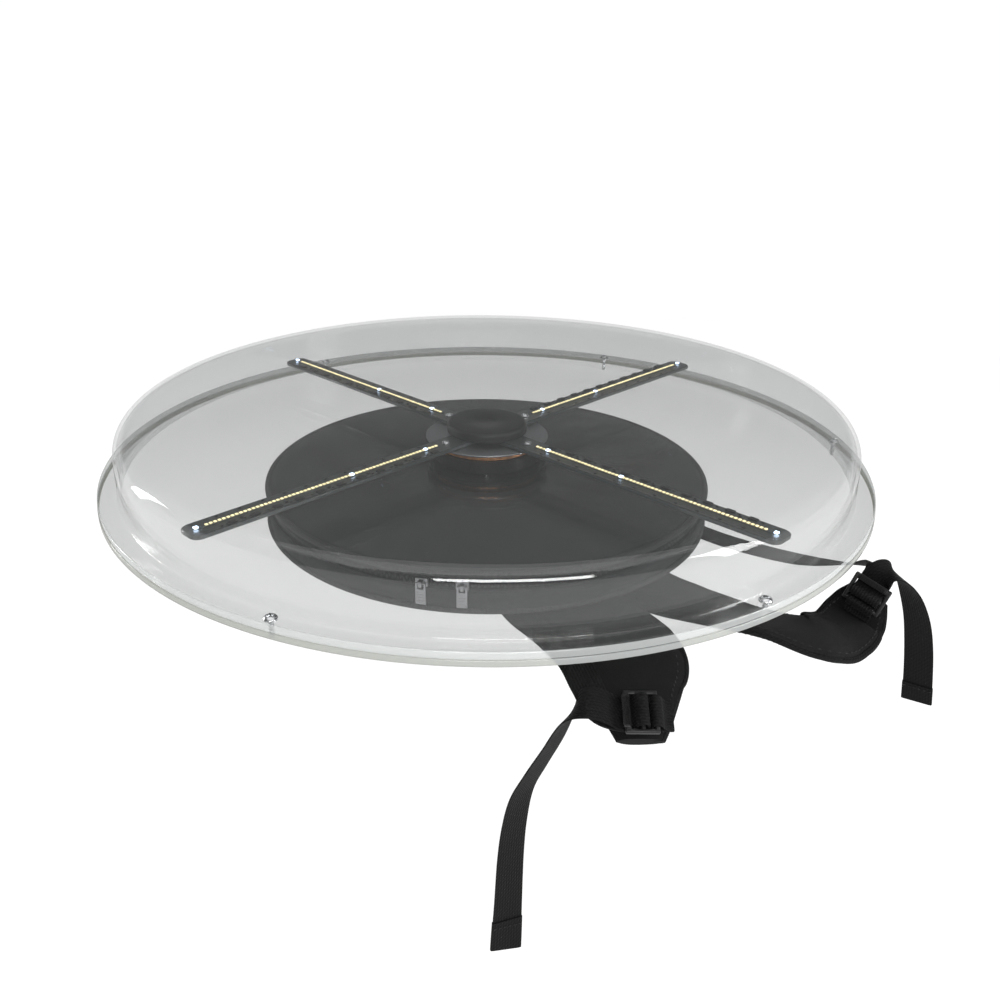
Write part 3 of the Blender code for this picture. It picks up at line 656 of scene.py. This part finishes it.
def build_covers():
    """Clear dome with its wall, flange and lip in one skin, and the clear disc behind it."""
    inner = WALL_RADIUS - WALL_THICK
    top = FRONT_HIGH.z
    low = FRONT_LOW.z
    flange = low + FLANGE_THICK
    shoulder = (WALL_RADIUS - SHOULDER, top - SHOULDER)
    foot = 0.0022
    rings = (0.0, 0.06, 0.12, 0.18, 0.225)
    profile = [(r, top) for r in rings] + arc(shoulder, SHOULDER, 90, 0, 14)
    profile += arc((WALL_RADIUS + foot, flange + foot), foot, 180, 270, 6)
    profile += [(COVER_RADIUS - 0.005, flange)]
    profile += arc((COVER_RADIUS - 0.0012, flange + LIP - 0.0008), 0.0008, 120, 0, 6)
    profile += arc((COVER_RADIUS - 0.0008, low + 0.0004), 0.0004, 0, -90, 3)
    profile += arc((inner + 0.0012, low + 0.0012), 0.0012, 270, 180, 4)
    profile += arc(shoulder, SHOULDER - WALL_THICK, 0, 90, 14)
    profile += [(r, top - WALL_THICK) for r in reversed(rings)]
    dome = finish_piece("clear_dome", turned(profile, 256, closed=False), DOME, CARRIER)
    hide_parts("front_cover")

    round_over = 0.0006
    rings = (0.008, 0.09, 0.18)
    z0, z1 = REAR_LOW.z, REAR_HIGH.z
    profile = [(r, z1) for r in rings]
    profile += arc((COVER_RADIUS - round_over, z1 - round_over), round_over, 90, 0, 4)
    profile += arc((COVER_RADIUS - round_over, z0 + round_over), round_over, 0, -90, 4)
    profile += [(r, z0) for r in reversed(rings)]
    plate = finish_piece("clear_plate", turned(profile, 256), PLATE, CARRIER)
    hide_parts("rear_cover")


def build_screw(name, node, place, top, tip, head, shank, body):
    """Pan-head screw with a thin cross on its crown and a ridged shank."""
    head_height = 0.0024 if head > 0.0035 else 0.0016
    way = 1.0 if tip < top else -1.0
    base = top + way * GAP
    crown = base + way * head_height
    profile = [(0.0, crown), (head * 0.55, crown - way * head_height * 0.06),
               (head * 0.85, crown - way * head_height * 0.3), (head, base + way * head_height * 0.35),
               (head, base), (shank, base)]
    pitch = 0.0007
    count = int(abs(base - tip) / pitch)
    for k in range(1, count):
        z = base - way * pitch * k
        profile.append((shank * (1.0 if k % 2 else 0.84), z))
    profile += [(shank * 0.7, tip), (0.0, tip)]
    bm = turned(profile, 24, closed=False)
    bmesh.ops.translate(bm, verts=bm.verts, vec=(place[0], place[1], 0.0))
    for degrees in (20.0, 110.0):
        arm = Matrix.Diagonal((head * 1.05, head * 0.2, 0.0004, 1.0))
        bmesh.ops.create_cube(bm, size=1.0, matrix=shift(place[0], place[1], crown) @ spin(degrees) @ arm)
    piece = finish_piece(name, bm, STEEL, body, 30.0)
    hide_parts(node)


def build_rim_screws():
    """The screws that hold the dome's flange to the disc."""
    for k in range(RIM_SCREWS):
        angle = math.radians(RIM_FIRST + 360.0 / RIM_SCREWS * k)
        place = (RIM_RING * math.cos(angle), RIM_RING * math.sin(angle))
        low, _ = node_box(f"rim_screw_{k + 1}")
        seat = FRONT_LOW.z + FLANGE_THICK
        name = f"cover_screw_{k + 1}"
        build_screw(name, f"rim_screw_{k + 1}", place, seat, low.z, 0.004, 0.0015, CARRIER)


# ---- fan


def build_hub():
    """Turned disc that the blades are screwed to, and the dished cap over its middle."""
    bore, edge = 0.0033, 0.0003
    plate = [(bore, HUB_HIGH.z)] + arc((HUB_HIGH.x - edge, HUB_HIGH.z - edge), edge, 90, 0, 3)
    plate += arc((HUB_HIGH.x - edge, HUB_LOW.z + edge), edge, 0, -90, 3) + [(bore, HUB_LOW.z)]
    piece = finish_piece("hub_disc", turned(plate, 128), ALUMINIUM, FAN)
    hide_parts("hub_plate")

    radius, edge = CAP_HIGH.x, 0.003
    top, low = CAP_HIGH.z, CAP_LOW.z
    cap = [(0.0, top - 0.0005), (0.007, top - 0.0005), (0.0078, top), (0.02, top)]
    cap += arc((radius - edge, top - edge), edge, 90, 0, 8) + [(radius, low), (radius - 0.002, low)]
    cap += [(radius - 0.002, top - 0.002), (0.0, top - 0.002)]
    piece = finish_piece("hub_cover", turned(cap, 128, closed=False), PLASTIC, FAN)
    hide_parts("hub_cap")


def build_blade(k):
    """One blade: rounded board, a row of diodes down its middle, and chips along its edges."""
    turn = spin(45.0 + 360.0 / BLADES * k)
    top = BLADE_HIGH.z
    half = BLADE_WIDTH / 2
    tip = 0.006
    outline = [(BLADE_START, -half)]
    outline += arc((BLADE_TIP - tip, -half + tip), tip, -90, 0, 6)
    outline += arc((BLADE_TIP - tip, half - tip), tip, 0, 90, 6)
    outline += [(BLADE_START, half)]
    middle = np.mean(outline, axis=0)
    rows = []
    edge = 0.0005
    for inset, z in ((edge, BLADE_LOW.z), (0.0, BLADE_LOW.z + edge), (0.0, top - edge), (edge, top)):
        ring = []
        for x, y in outline:
            pull = Vector((middle[0] - x, middle[1] - y, 0.0))
            pull.x = math.copysign(min(abs(pull.x), inset), pull.x)
            pull.y = math.copysign(min(abs(pull.y), inset), pull.y)
            ring.append(turn @ (Vector((x, y, z)) + pull))
        rows.append(ring)
    bm = lattice([[list(v) for v in ring] for ring in rows])
    uv = bm.loops.layers.uv.active
    back = turn.inverted()
    for face in bm.faces:
        for loop in face.loops:
            spot = back @ loop.vert.co
            loop[uv].uv = (spot.x, spot.y)
    blade = finish_piece(f"blade_board_{k + 1}", bm, BOARD, FAN, 30.0)
    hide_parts(f"led_blade_{k + 1}")

    kit = Kit()
    start, end = LIGHTS_START, BLADE_TIP - 0.01
    track_place = turn @ shift((start + end) / 2, 0.0, top + 0.00035)
    rounded_box(kit, (end - start, 0.0036, 0.0005), track_place, 0.0001)
    track = kit.finish(f"light_track_{k + 1}", BOARD, FAN)
    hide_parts(f"led_strip_{k + 1}")
    kit = Kit()
    for x in np.arange(start + 0.002, end - 0.001, 0.003):
        rounded_box(kit, (0.0019, 0.0019, 0.0006), turn @ shift(x, 0.0, top + 0.0009), 0.00015)
    kit.finish(f"light_row_{k + 1}", WARM_LIGHT, FAN)

    kit = Kit()
    drivers = half - 0.0026
    low = top + GAP
    for number, x in enumerate(np.arange(0.06, BLADE_TIP - 0.014, 0.0165)):
        rounded_box(kit, (0.0062, 0.0034, 0.0011), turn @ shift(x, drivers, top + 0.0005), 0.0002)
        rounded_box(kit, (0.0016, 0.0009, 0.0006), turn @ shift(x + 0.0068, drivers, low), 0.0001)
        if number % 2:
            rounded_box(kit, (0.002, 0.0012, 0.0008), turn @ shift(x + 0.0085, 0.0052, low), 0.0001)
        rounded_box(kit, (0.0018, 0.0011, 0.0006), turn @ shift(x + 0.002, -half + 0.0028, low), 0.0001)
    kit.finish(f"blade_chips_{k + 1}", CHIP, FAN)

    # Painted glints: glowing blue-white boxes near the hub, at mid blade and at the tip, standing in for
    # star glints.
    kit = Kit()
    for x in (0.062, 0.128, BLADE_TIP - 0.0068):
        rounded_box(kit, (0.0026, 0.0026, 0.0009), turn @ shift(x, 0.0, top + 0.0011), 0.0003, 2)
    kit.finish(f"painted_glints_{k + 1}", PAINTED_GLINT_GLOW, FAN)

    screw = turn @ Vector((BLADE_SCREW_RING, 0.0, 0.0))
    tip = HUB_LOW.z - 0.0008
    build_screw(f"hub_screw_{k + 1}", f"blade_screw_{k + 1}", screw.xy, top, tip, 0.003, 0.0015, FAN)


# ---- pack


def puff(r, angle):
    """Slack in the pack's front panel: a low crown with puckers running in from the piping."""
    edge = max(0.0, 1.0 - abs(r - 0.105) / 0.052)
    pucker = noise.noise(Vector((math.cos(angle) * 7.0, math.sin(angle) * 7.0, r * 26.0)))
    return edge * edge * (3 - 2 * edge) * 0.0018 + 0.0011 * pucker * min(1.0, max(0.0, (r - 0.058) / 0.03))


def pack_ripple(r, angle, z):
    """Puff the panel's outer skin, and leave its inside and its edge as they are."""
    return puff(r, angle) if z > ZIP_HIGH.z + 0.0045 and r < PACK_RADIUS - 0.004 else 0.0


def slack(bm):
    """Push the pack's side wall in and out a little, as loose cloth over a soft filling."""
    for vert in bm.verts:
        reach = vert.co.xy.length
        if reach > PACK_RADIUS - 0.012:
            angle = math.atan2(vert.co.y, vert.co.x)
            lump = noise.noise(Vector((math.cos(angle) * 3.2, math.sin(angle) * 3.2, vert.co.z * 30.0)))
            crease = noise.noise(Vector((math.cos(angle) * 11.0, math.sin(angle) * 11.0, vert.co.z * 60.0)))
            fade = min(1.0, (PACK_SEAM - vert.co.z) / 0.006, (vert.co.z - PACK_LOW.z) / 0.003)
            push = 1.0 + (0.0022 * lump + 0.0009 * crease) * max(0.0, fade) / reach
            vert.co.x *= push
            vert.co.y *= push
    return bm


def build_pack():
    """The pack's two cloth shells, the piping round their edges and the stitches beside the zip."""
    corner = 0.005
    top = PACK_HIGH.z
    inner = PACK_RADIUS - FABRIC
    profile = [(r, top) for r in (0.008, 0.03, 0.05)] + [(r, top) for r in np.linspace(0.058, 0.157, 22)]
    profile += arc((PACK_RADIUS - corner, top - corner), corner, 90, 0, 8)
    profile += [(PACK_RADIUS, ZIP_HIGH.z + GAP), (inner, ZIP_HIGH.z + GAP)]
    profile += arc((PACK_RADIUS - corner, top - corner), corner - FABRIC, 0, 90, 5)
    profile += [(0.158, top - 0.003), (0.008, top - 0.003)]
    skin = turned(profile, 256, ripple=pack_ripple)
    front = finish_piece("pack_front_cloth", skin, PACK_CLOTH, CARRIER)
    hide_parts("pack_front")

    low = PACK_LOW.z
    floor = low + FABRIC
    low_centre = (PACK_RADIUS - corner, low + corner)
    profile = [(0.0, floor), (0.08, floor)] + arc(low_centre, corner - FABRIC, -90, 0, 5)
    profile += [(inner, PACK_SEAM), (PACK_RADIUS, PACK_SEAM)]
    profile += [(PACK_RADIUS + 0.001, z) for z in np.linspace(PACK_SEAM - 0.0015, low + corner, 6)[:-1]]
    profile += arc(low_centre, corner, 0, -90, 8) + [(0.13, low), (0.0, low)]
    skin = slack(turned(profile, 256, closed=False))
    back = finish_piece("pack_back_cloth", skin, PACK_CLOTH, CARRIER)
    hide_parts("pack_back")

    cord = 0.0022
    for name, z in (("piping_front", top - cord), ("piping_back", low + 0.0026)):
        profile = arc((PACK_RADIUS - 0.0004, z), cord, 0, 330, 11)
        finish_piece(name, turned(profile, 256), PIPING, CARRIER)

    kit = Kit()
    from_zip, stitch_pitch, surface = 0.0016, 0.0038, PACK_RADIUS + 0.0004
    for z in (ZIP_HIGH.z + from_zip, ZIP_LOW.z - from_zip):
        count = int(TURN * PACK_RADIUS / stitch_pitch)
        angles = np.linspace(0.0, TURN, count, endpoint=False)
        out = [(math.cos(a), math.sin(a), 0.0) for a in angles]
        places = [(surface * c, surface * s, z) for c, s, _ in out]
        stitches(kit, places, [(-s, c, 0.0) for c, s, _ in out], out)
    kit.finish("pack_stitching", THREAD, CARRIER)


def build_zip():
    """Zip tape with a moulded coil of teeth round the pack."""
    radius = ZIP_HIGH.x
    low, high = ZIP_LOW.z, ZIP_HIGH.z
    middle = (low + high) / 2
    groove = 0.0002
    profile = [(radius, high), (radius, middle + groove), (radius - 2 * groove, middle)]
    profile += [(radius, middle - groove), (radius, low), (radius - FABRIC, low), (radius - FABRIC, high)]
    tape = finish_piece("zip_tape", turned(profile, 256), BINDING, CARRIER)
    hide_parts("zipper")
    kit = Kit()
    pair_pitch = 0.004
    count = 2 * int(TURN * radius / pair_pitch)
    for k in range(count):
        turn = spin(360.0 * k / count)
        rise = 0.0007 if k % 2 else -0.0007
        tooth = turn @ shift(radius - 0.0003, 0.0, middle + rise)
        rounded_box(kit, (0.0011, 0.0014, 0.0026), tooth, 0.0003)
    kit.finish("zip_teeth", BLACK_METAL, CARRIER)


def build_zip_pull(number, degrees):
    """A slider on the zip, and the pull that hangs in its bail: a loop, a plate and grip ribs."""
    radius = ZIP_HIGH.x
    middle = (ZIP_LOW.z + ZIP_HIGH.z) / 2
    turn = spin(degrees)
    body, pull = f"zip_slider_{number}", f"zip_pull_{number}"
    out = radius + 0.0042
    kit = Kit()
    rounded_box(kit, (0.0024, 0.0085, 0.0062), turn @ shift(radius + 0.0015, 0.0, middle), 0.0008, 3)
    for z in (middle + 0.00165, middle - 0.00165):
        rounded_box(kit, (0.0048, 0.0026, 0.0011), turn @ shift(out - 0.0002, 0.0, z), 0.0003, 2)
    rounded_box(kit, (0.0011, 0.0026, 0.0044), turn @ shift(out + 0.00165, 0.0, middle), 0.0003, 2)
    piece = kit.finish(f"slider_body_{number}", NICKEL, body)
    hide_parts(f"zip_slider_{number}")

    low, high = node_box(pull)
    top, length = high.z, high.z - low.z
    kit = Kit()
    rounded_box(kit, (0.0012, 0.0066, 0.0009), turn @ shift(out, 0.0, top - 0.00045), 0.0003, 2)
    for side in (-1, 1):
        arm = turn @ shift(out, side * 0.0027, top - 0.0026)
        rounded_box(kit, (0.0013, 0.0015, 0.0052), arm, 0.0004, 2)
    loop = 0.0042
    plate_top = top - loop
    plate = length - loop
    rounded_box(kit, (0.0014, 0.007, plate), turn @ shift(out, 0.0, plate_top - plate / 2), 0.0005, 3)
    for k in range(3):
        rib = turn @ shift(out, 0.0, plate_top - plate + 0.0025 + 0.0022 * k)
        rounded_box(kit, (0.0018, 0.005, 0.0009), rib, 0.0003)
    piece = kit.finish(f"pull_tab_{number}", NICKEL, pull)
    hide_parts(f"zip_pull_{number}")


def puffed(piece, pressure, cap, voxel=0.005, frames=20):
    """Inflate a closed cushion a little with cloth, holding each point within cap of its start."""
    mesh = piece.data
    scene = bpy.context.scene
    remesh = piece.modifiers.new("Remesh", "REMESH")
    remesh.mode = "VOXEL"
    remesh.voxel_size = voxel
    graph = bpy.context.evaluated_depsgraph_get()
    piece.data = bpy.data.meshes.new_from_object(piece.evaluated_get(graph))
    piece.modifiers.clear()
    start = np.empty(len(piece.data.vertices) * 3)
    piece.data.vertices.foreach_get("co", start)
    start = start.reshape(-1, 3)
    cloth = piece.modifiers.new("Cloth", "CLOTH")
    cloth.settings.use_pressure = True
    cloth.settings.uniform_pressure_force = pressure
    cloth.settings.effector_weights.gravity = 0.0
    cloth.settings.quality = 5
    cloth.collision_settings.use_collision = False
    for number in range(1, frames + 1):
        scene.frame_set(number)
    graph = bpy.context.evaluated_depsgraph_get()
    swollen = piece.evaluated_get(graph).to_mesh()
    end = np.empty(len(swollen.vertices) * 3)
    swollen.vertices.foreach_get("co", end)
    move = end.reshape(-1, 3) - start
    size = np.linalg.norm(move, axis=1)
    move *= (np.minimum(size, cap) / np.maximum(size, 1e-9))[:, None]
    piece.modifiers.clear()
    scene.frame_set(1)
    piece.data.vertices.foreach_set("co", (start + move).ravel())
    piece.data.polygons.foreach_set("use_smooth", [True] * len(piece.data.polygons))
    bpy.data.meshes.remove(mesh)


def build_back_pad():
    """Foam back panel: a cloth-blown cushion, held flat on the wearer's side, with sewn channels."""
    radius, low, high, edge = PAD_RADIUS - 0.004, 0.003, PAD_HIGH.z - 0.0022, 0.004
    profile = [(0.0, high)] + arc((radius - edge, high - edge), edge, 90, 0, 5)
    profile += arc((radius - edge, low + edge), edge, 0, -90, 5) + [(0.0, low)]
    skin = turned(profile, 96, closed=False)
    pad = finish_piece("back_pad_cloth", skin, PAD_CLOTH, CARRIER)
    puffed(pad, 4.0, 0.004)
    channels, channel_width, channel_depth = (-0.062, 0.0, 0.062), 0.0035, 0.0022
    for vert in pad.data.vertices:
        groove = max(math.exp(-(((vert.co.x - x) / channel_width) ** 2)) for x in channels)
        sewn = vert.co.z < 0.006 and vert.co.xy.length < PAD_RADIUS - 0.014
        sunk = groove * channel_depth if sewn else 0.0
        vert.co.z = min(max(vert.co.z, 0.0), PAD_HIGH.z) + sunk
        reach = vert.co.xy.length
        if reach > PAD_RADIUS:
            vert.co.x *= PAD_RADIUS / reach
            vert.co.y *= PAD_RADIUS / reach
    pad.data.materials.clear()
    pad.data.materials.append(PAD_CLOTH)
    subdivide = pad.modifiers.new("Subdivision", "SUBSURF")
    subdivide.levels = subdivide.render_levels = 1
    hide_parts("back_pad")

    profile = arc((PAD_RADIUS - 0.0016, 0.007), 0.0019, 0, 330, 11)
    finish_piece("pad_binding", turned(profile, 192), BINDING, CARRIER)


# ---- straps


def lock_frame(centre, along, bars):
    """Frame of a ladder lock: X along the webbing, Y along its bars, Z out of its face."""
    x = Vector(along).normalized()
    y = Vector(bars)
    y = (y - x * y.dot(x)).normalized()
    matrix = Matrix((x, y, x.cross(y))).transposed().to_4x4()
    matrix.translation = Vector(centre)
    return matrix


FRAME_A = lock_frame((0.091, -0.2278, -0.0126), (-1.0, 0.0, 0.0), (0.0, -0.863, -0.506))
FRAME_B = lock_frame((0.256, -0.121, 0.006), (0.36, -0.02, 0.933), (-0.74, 0.6, 0.3))
LEVEL = (0.866, 0.5, 0.0)
STRAP_TOP = PAD_HIGH.z
WEB_TOP = PAD_HIGH.z - 0.0006


def on_lock(lock, points, width):
    """Stations given as (along, out) in a lock's own frame; the width runs towards +Y."""
    across = lock.col[1].xyz * (1.0 if lock.col[1].y > 0.0 else -1.0)
    return [(lock @ Vector((s, 0.0, n)), across, width) for s, n in points]


# Webbing through a lock and the loop on its fixed bar, as (along, out) in the lock's frame.
THREADED = [(0.012, -0.0046), (0.004, -0.0046), (-0.0015, -0.0044), (-0.0037, -0.0026), (-0.0039, 0.0008),
            (-0.0032, 0.0042), (-0.0004, 0.0056), (0.0024, 0.0042), (0.0036, 0.0008), (0.005, -0.0018),
            (0.0085, -0.0028), (0.012, -0.0028)]
LOOP = [(-0.019, LOCK_FACE + 0.0008), (-0.0145, LOCK_FACE + 0.0008), (-0.011, -0.0043), (-0.0084, -0.0034),
        (-0.0064, -0.0022), (-0.0059, 0.0), (-0.0066, 0.0024), (-0.0086, 0.0034), (-0.0112, 0.0018),
        (-0.013, -0.0014), (-0.0152, -0.0036), (-0.019, LOCK_FACE + 0.0021)]

# Stations along each strap (centre, width direction, width) and each webbing (the same, without width).
STRAP_A = [
    ((-0.105, 0.09, STRAP_TOP), LEVEL, 0.06),
    ((-0.105, 0.09, 0.004), LEVEL, 0.06),
    ((-0.1015, 0.085, -0.009), LEVEL, 0.06),
    ((-0.09, 0.072, -0.017), LEVEL, 0.061),
    ((-0.02, -0.012, -0.024), (0.83, 0.56, 0.0), 0.064),
    ((0.04, -0.078, -0.017), (0.86, 0.5, 0.0), 0.064),
    ((0.064, -0.114, -0.01), (0.9, 0.43, 0.0), 0.064),
    ((0.0815, -0.156, -0.004), (0.93, 0.37, 0.0), 0.07),
    ((0.0905, -0.185, -0.0045), (0.97, 0.24, 0.0), 0.069),
    ((0.0905, -0.2045, -0.012), (1.0, 0.03, 0.0), 0.057),
    ((0.091, -0.222, -0.02255), (1.0, 0.0, 0.0), 0.04),
    ((0.091, -0.2335, -0.02928), (1.0, 0.0, 0.0), 0.027),
]
TO_PACK_A = [
    ((0.013, -0.144, WEB_TOP), (0.81, 0.59, 0.0)),
    ((0.0235, -0.156, 0.0066), (0.81, 0.59, 0.0)),
    ((0.0385, -0.1735, 0.0034), (0.82, 0.57, 0.0)),
    ((0.0525, -0.1955, 0.0018), (0.75, 0.64, 0.15)),
    ((0.06, -0.2125, -0.0045), (0.45, 0.8, 0.38)),
    ((0.067, -0.224, -0.0125), (0.12, 0.85, 0.5)),
]
TAIL_A = [
    ((0.067, -0.2265, -0.0085), (0.12, 0.85, 0.5)),
    ((0.058, -0.2275, -0.0075), (0.35, 0.8, 0.48)),
    ((0.0495, -0.227, -0.016), (0.62, 0.7, 0.35)),
    ((0.0405, -0.226, -0.037), (0.72, 0.68, 0.12)),
    ((0.031, -0.226, -0.056), (0.74, 0.67, 0.0)),
    ((0.023, -0.226, -0.074), (0.76, 0.65, 0.0)),
    ((0.019, -0.226, -0.096), (0.8, 0.6, 0.0)),
    ((0.017, -0.226, -0.122), (0.84, 0.54, 0.0)),
    ((0.016, -0.226, -0.16), (0.9, 0.44, 0.0)),
    ((0.015, -0.226, -0.2), (0.98, 0.2, 0.0)),
]
STRAP_B = [
    ((-0.025, 0.136, STRAP_TOP), LEVEL, 0.06),
    ((-0.025, 0.136, 0.004), LEVEL, 0.06),
    ((-0.0218, 0.131, -0.009), LEVEL, 0.06),
    ((-0.012, 0.117, -0.017), LEVEL, 0.061),
    ((0.052, 0.019, -0.025), (0.83, 0.56, 0.0), 0.064),
    ((0.108, -0.06, -0.02), (0.82, 0.56, -0.05), 0.064),
    ((0.132, -0.09, -0.016), (0.76, 0.64, -0.1), 0.064),
    ((0.162, -0.112, -0.014), (0.58, 0.79, -0.2), 0.062),
    ((0.191, -0.126, -0.015), (0.36, 0.9, -0.24), 0.058),
    ((0.22, -0.135, -0.019), (0.22, 0.97, -0.02), 0.052),
    ((0.241, -0.124, -0.023), (-0.27, 0.93, 0.2), 0.046),
]
TO_PACK_B = [
    ((0.142, -0.015, WEB_TOP), (-0.5, -0.86, 0.0)),
    ((0.154, -0.022, 0.007), (-0.5, -0.86, 0.0)),
    ((0.185, -0.042, 0.003), (-0.5, -0.86, 0.0)),
    ((0.225, -0.068, 0.004), (-0.55, -0.83, 0.05)),
    ((0.254, -0.088, 0.011), (-0.72, -0.6, 0.3)),
    ((0.266, -0.101, 0.018), (-0.92, -0.1, 0.38)),
    ((0.2665, -0.1115, 0.02), (-0.82, 0.45, 0.32)),
]
TAIL_B = [
    ((0.265, -0.121, 0.0215), (-0.6, 0.78, 0.25)),
    ((0.271, -0.123, 0.023), (-0.3, 0.94, 0.15)),
    ((0.279, -0.123, 0.016), (-0.3, 0.95, 0.0)),
    ((0.286, -0.122, 0.004), (-0.45, 0.89, -0.1)),
    ((0.293, -0.121, -0.014), (-0.6, 0.8, -0.1)),
    ((0.298, -0.12, -0.035), (-0.7, 0.71, -0.08)),
    ((0.3015, -0.12, -0.058), (-0.74, 0.67, -0.05)),
    ((0.304, -0.12, -0.08), (-0.8, 0.6, 0.0)),
]


def build_padded_strap(letter, stations):
    """Padded strap: a soft body, tape bound over both edges, and rows of stitching."""
    rows = smooth_rows(stations, 14)
    bm = strap(rows, PADDING, "padded", 22)
    for vert in bm.verts:
        vert.co += vert.normal * 0.0007 * noise.noise(vert.co * 55.0)
    body = finish_piece(f"strap_pad_{letter}", bm, STRAP_CLOTH, CARRIER, 70.0)
    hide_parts(f"shoulder_strap_{letter}")

    centre, across, face, width = row_frames(rows)
    bm = bmesh.new()
    inset, tape_width, tape_rise = 0.0022, 0.0032, 0.0021
    for side in (-0.5, 0.5):
        skin = []
        for c, a, f, w in zip(centre, across, face, width):
            edge = c + a * (w * side - math.copysign(inset, side))
            skin.append([edge + a * tape_width * math.cos(t) + f * tape_rise * math.sin(t)
                         for t in np.linspace(0.0, TURN, 12, endpoint=False)])
        tube = lattice(skin)
        mesh = bpy.data.meshes.new("tape")
        tube.to_mesh(mesh)
        tube.free()
        bm.from_mesh(mesh)
        bpy.data.meshes.remove(mesh)
    finish_piece(f"strap_tape_{letter}", bm, BINDING, CARRIER, 60.0)

    kit = Kit()
    for offset in (-0.4, 0.4):
        for lift in (0.0034, -0.0034):
            sew_line(kit, rows, offset, lift)
    kit.finish(f"strap_stitching_{letter}", THREAD, CARRIER)


def webbing(stations):
    """The stations of a stretch of webbing, with its width added."""
    return [(*station, WEB_WIDTH) for station in stations]


def webbing_piece(name, rows, thickness, points):
    """A flat woven length of the straps' webbing."""
    return finish_piece(name, strap(rows, thickness, "flat", points), WEBBING, CARRIER, 60.0)


def build_webbing(letter, stations):
    """One length of webbing: sewn under the pack, threaded through the lock, hanging to its hem."""
    rows = smooth_rows(stations, 8)
    web = webbing_piece(f"web_{letter}", rows, WEB_THICK, 10)
    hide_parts(f"webbing_{letter}")
    hem_rows = rows[-6:].copy()
    hem_rows[:, 6] += 0.0006
    hem = webbing_piece(f"web_hem_{letter}", hem_rows, WEB_THICK * 2.4, 10)
    kit = Kit()
    centre, across, face, width = row_frames(hem_rows)
    for lift in (0.0014, -0.0014):
        for u in np.linspace(-0.42, 0.42, 6):
            stitches(kit, [centre[1] + across[1] * width[1] * u + face[1] * lift], [across[1]], [face[1]])
    thread = kit.finish(f"web_stitching_{letter}", THREAD, CARRIER)


def build_lock(letter, lock):
    """Ladder lock with rounded bars and a ribbed, lifted lip, and the webbing loop that holds it."""
    kit = Kit()
    for side in (-1, 1):
        rounded_box(kit, (0.02, 0.0026, 0.0034), lock @ shift(0.0, side * 0.0117, 0.0), 0.0008, 3)
    bars = ((-0.0086, 0.0028, 0.0034), (-0.0004, 0.0028, 0.0032), (0.0082, 0.0036, 0.0034))
    for s, deep, thick in bars:
        rounded_box(kit, (deep, 0.024, thick), lock @ shift(s, 0.0, 0.0), 0.0009, 3)
    tilt = Matrix.Rotation(math.radians(-14.0), 4, "Y")
    rounded_box(kit, (0.004, 0.02, 0.0014), lock @ shift(0.009, 0.0, 0.0016) @ tilt, 0.0005, 2)
    for k in range(5):
        rib = lock @ shift(0.0074 + 0.0009 * k, 0.0, 0.00235 + 0.0002 * k)
        rounded_box(kit, (0.0006, 0.018, 0.0006), rib, 0.0002)
    piece = kit.finish(f"lock_body_{letter}", PLASTIC, f"lock_{letter}")
    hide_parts(f"ladder_lock_{letter}")

    rows = smooth_rows(on_lock(lock, LOOP, 0.019), 8)
    loop = webbing_piece(f"loop_{letter}", rows, WEB_THICK, 8)
    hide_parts(f"lock_loop_{letter}")


def build_straps():
    """Both shoulder straps, each with its lock and its webbing; strap b ends along its lock."""
    end_b = []
    for s, width in ((-0.024, 0.042), (-0.013, 0.036), (-0.003, 0.026)):
        end_b += on_lock(FRAME_B, [(s, LOCK_FACE - PADDING / 2)], width)
    build_padded_strap("a", STRAP_A)
    build_padded_strap("b", STRAP_B + end_b)
    sides = (("a", FRAME_A, TO_PACK_A, TAIL_A), ("b", FRAME_B, TO_PACK_B, TAIL_B))
    for letter, lock, to_pack, tail in sides:
        build_lock(letter, lock)
        build_webbing(letter, webbing(to_pack) + on_lock(lock, THREADED, WEB_WIDTH) + webbing(tail))


# ---- kept CAD parts and the stage


def dress_frame():
    """Give the CAD parts that stay their finished materials."""
    looks = {"battery_pack": DARK_PLASTIC, "power_lead": RUBBER, "mount_spacer": PLASTIC,
             "motor_base": PLASTIC, "clamp_plate": STEEL, "motor_shaft": STEEL, "lower_bearing": STEEL,
             "upper_bearing": STEEL, "motor_stator": LAMINATION, "rotor_can": ALUMINIUM,
             "fixed_coil": COPPER, "rotating_coil": COPPER, "hub_board": BOARD}
    looks.update({f"base_screw_{k}": STEEL for k in range(1, 5)})
    for node, material in looks.items():
        obj = bpy.data.objects[node]
        for place in obj.material_slots:
            place.material = material


def build_stage():
    """A round floor below the hanging straps."""
    radius, drop = 1.9, 0.1
    bm = bmesh.new()
    bmesh.ops.create_circle(bm, cap_ends=True, segments=96, radius=radius)
    mesh = bpy.data.meshes.new("floor")
    bm.to_mesh(mesh)
    bm.free()
    mesh.materials.append(floor_look())
    floor = bpy.data.objects.new("floor", mesh)
    floor.location.z = CAD_BOUNDS[0][2] - drop
    link(floor)


build_camera()
build_light()
build_stage()
build_covers()
build_rim_screws()
build_hub()
for blade_number in range(BLADES):
    build_blade(blade_number)
build_pack()
build_zip()
build_zip_pull(1, -104.0)
build_zip_pull(2, -95.0)
build_back_pad()
build_straps()
dress_frame()
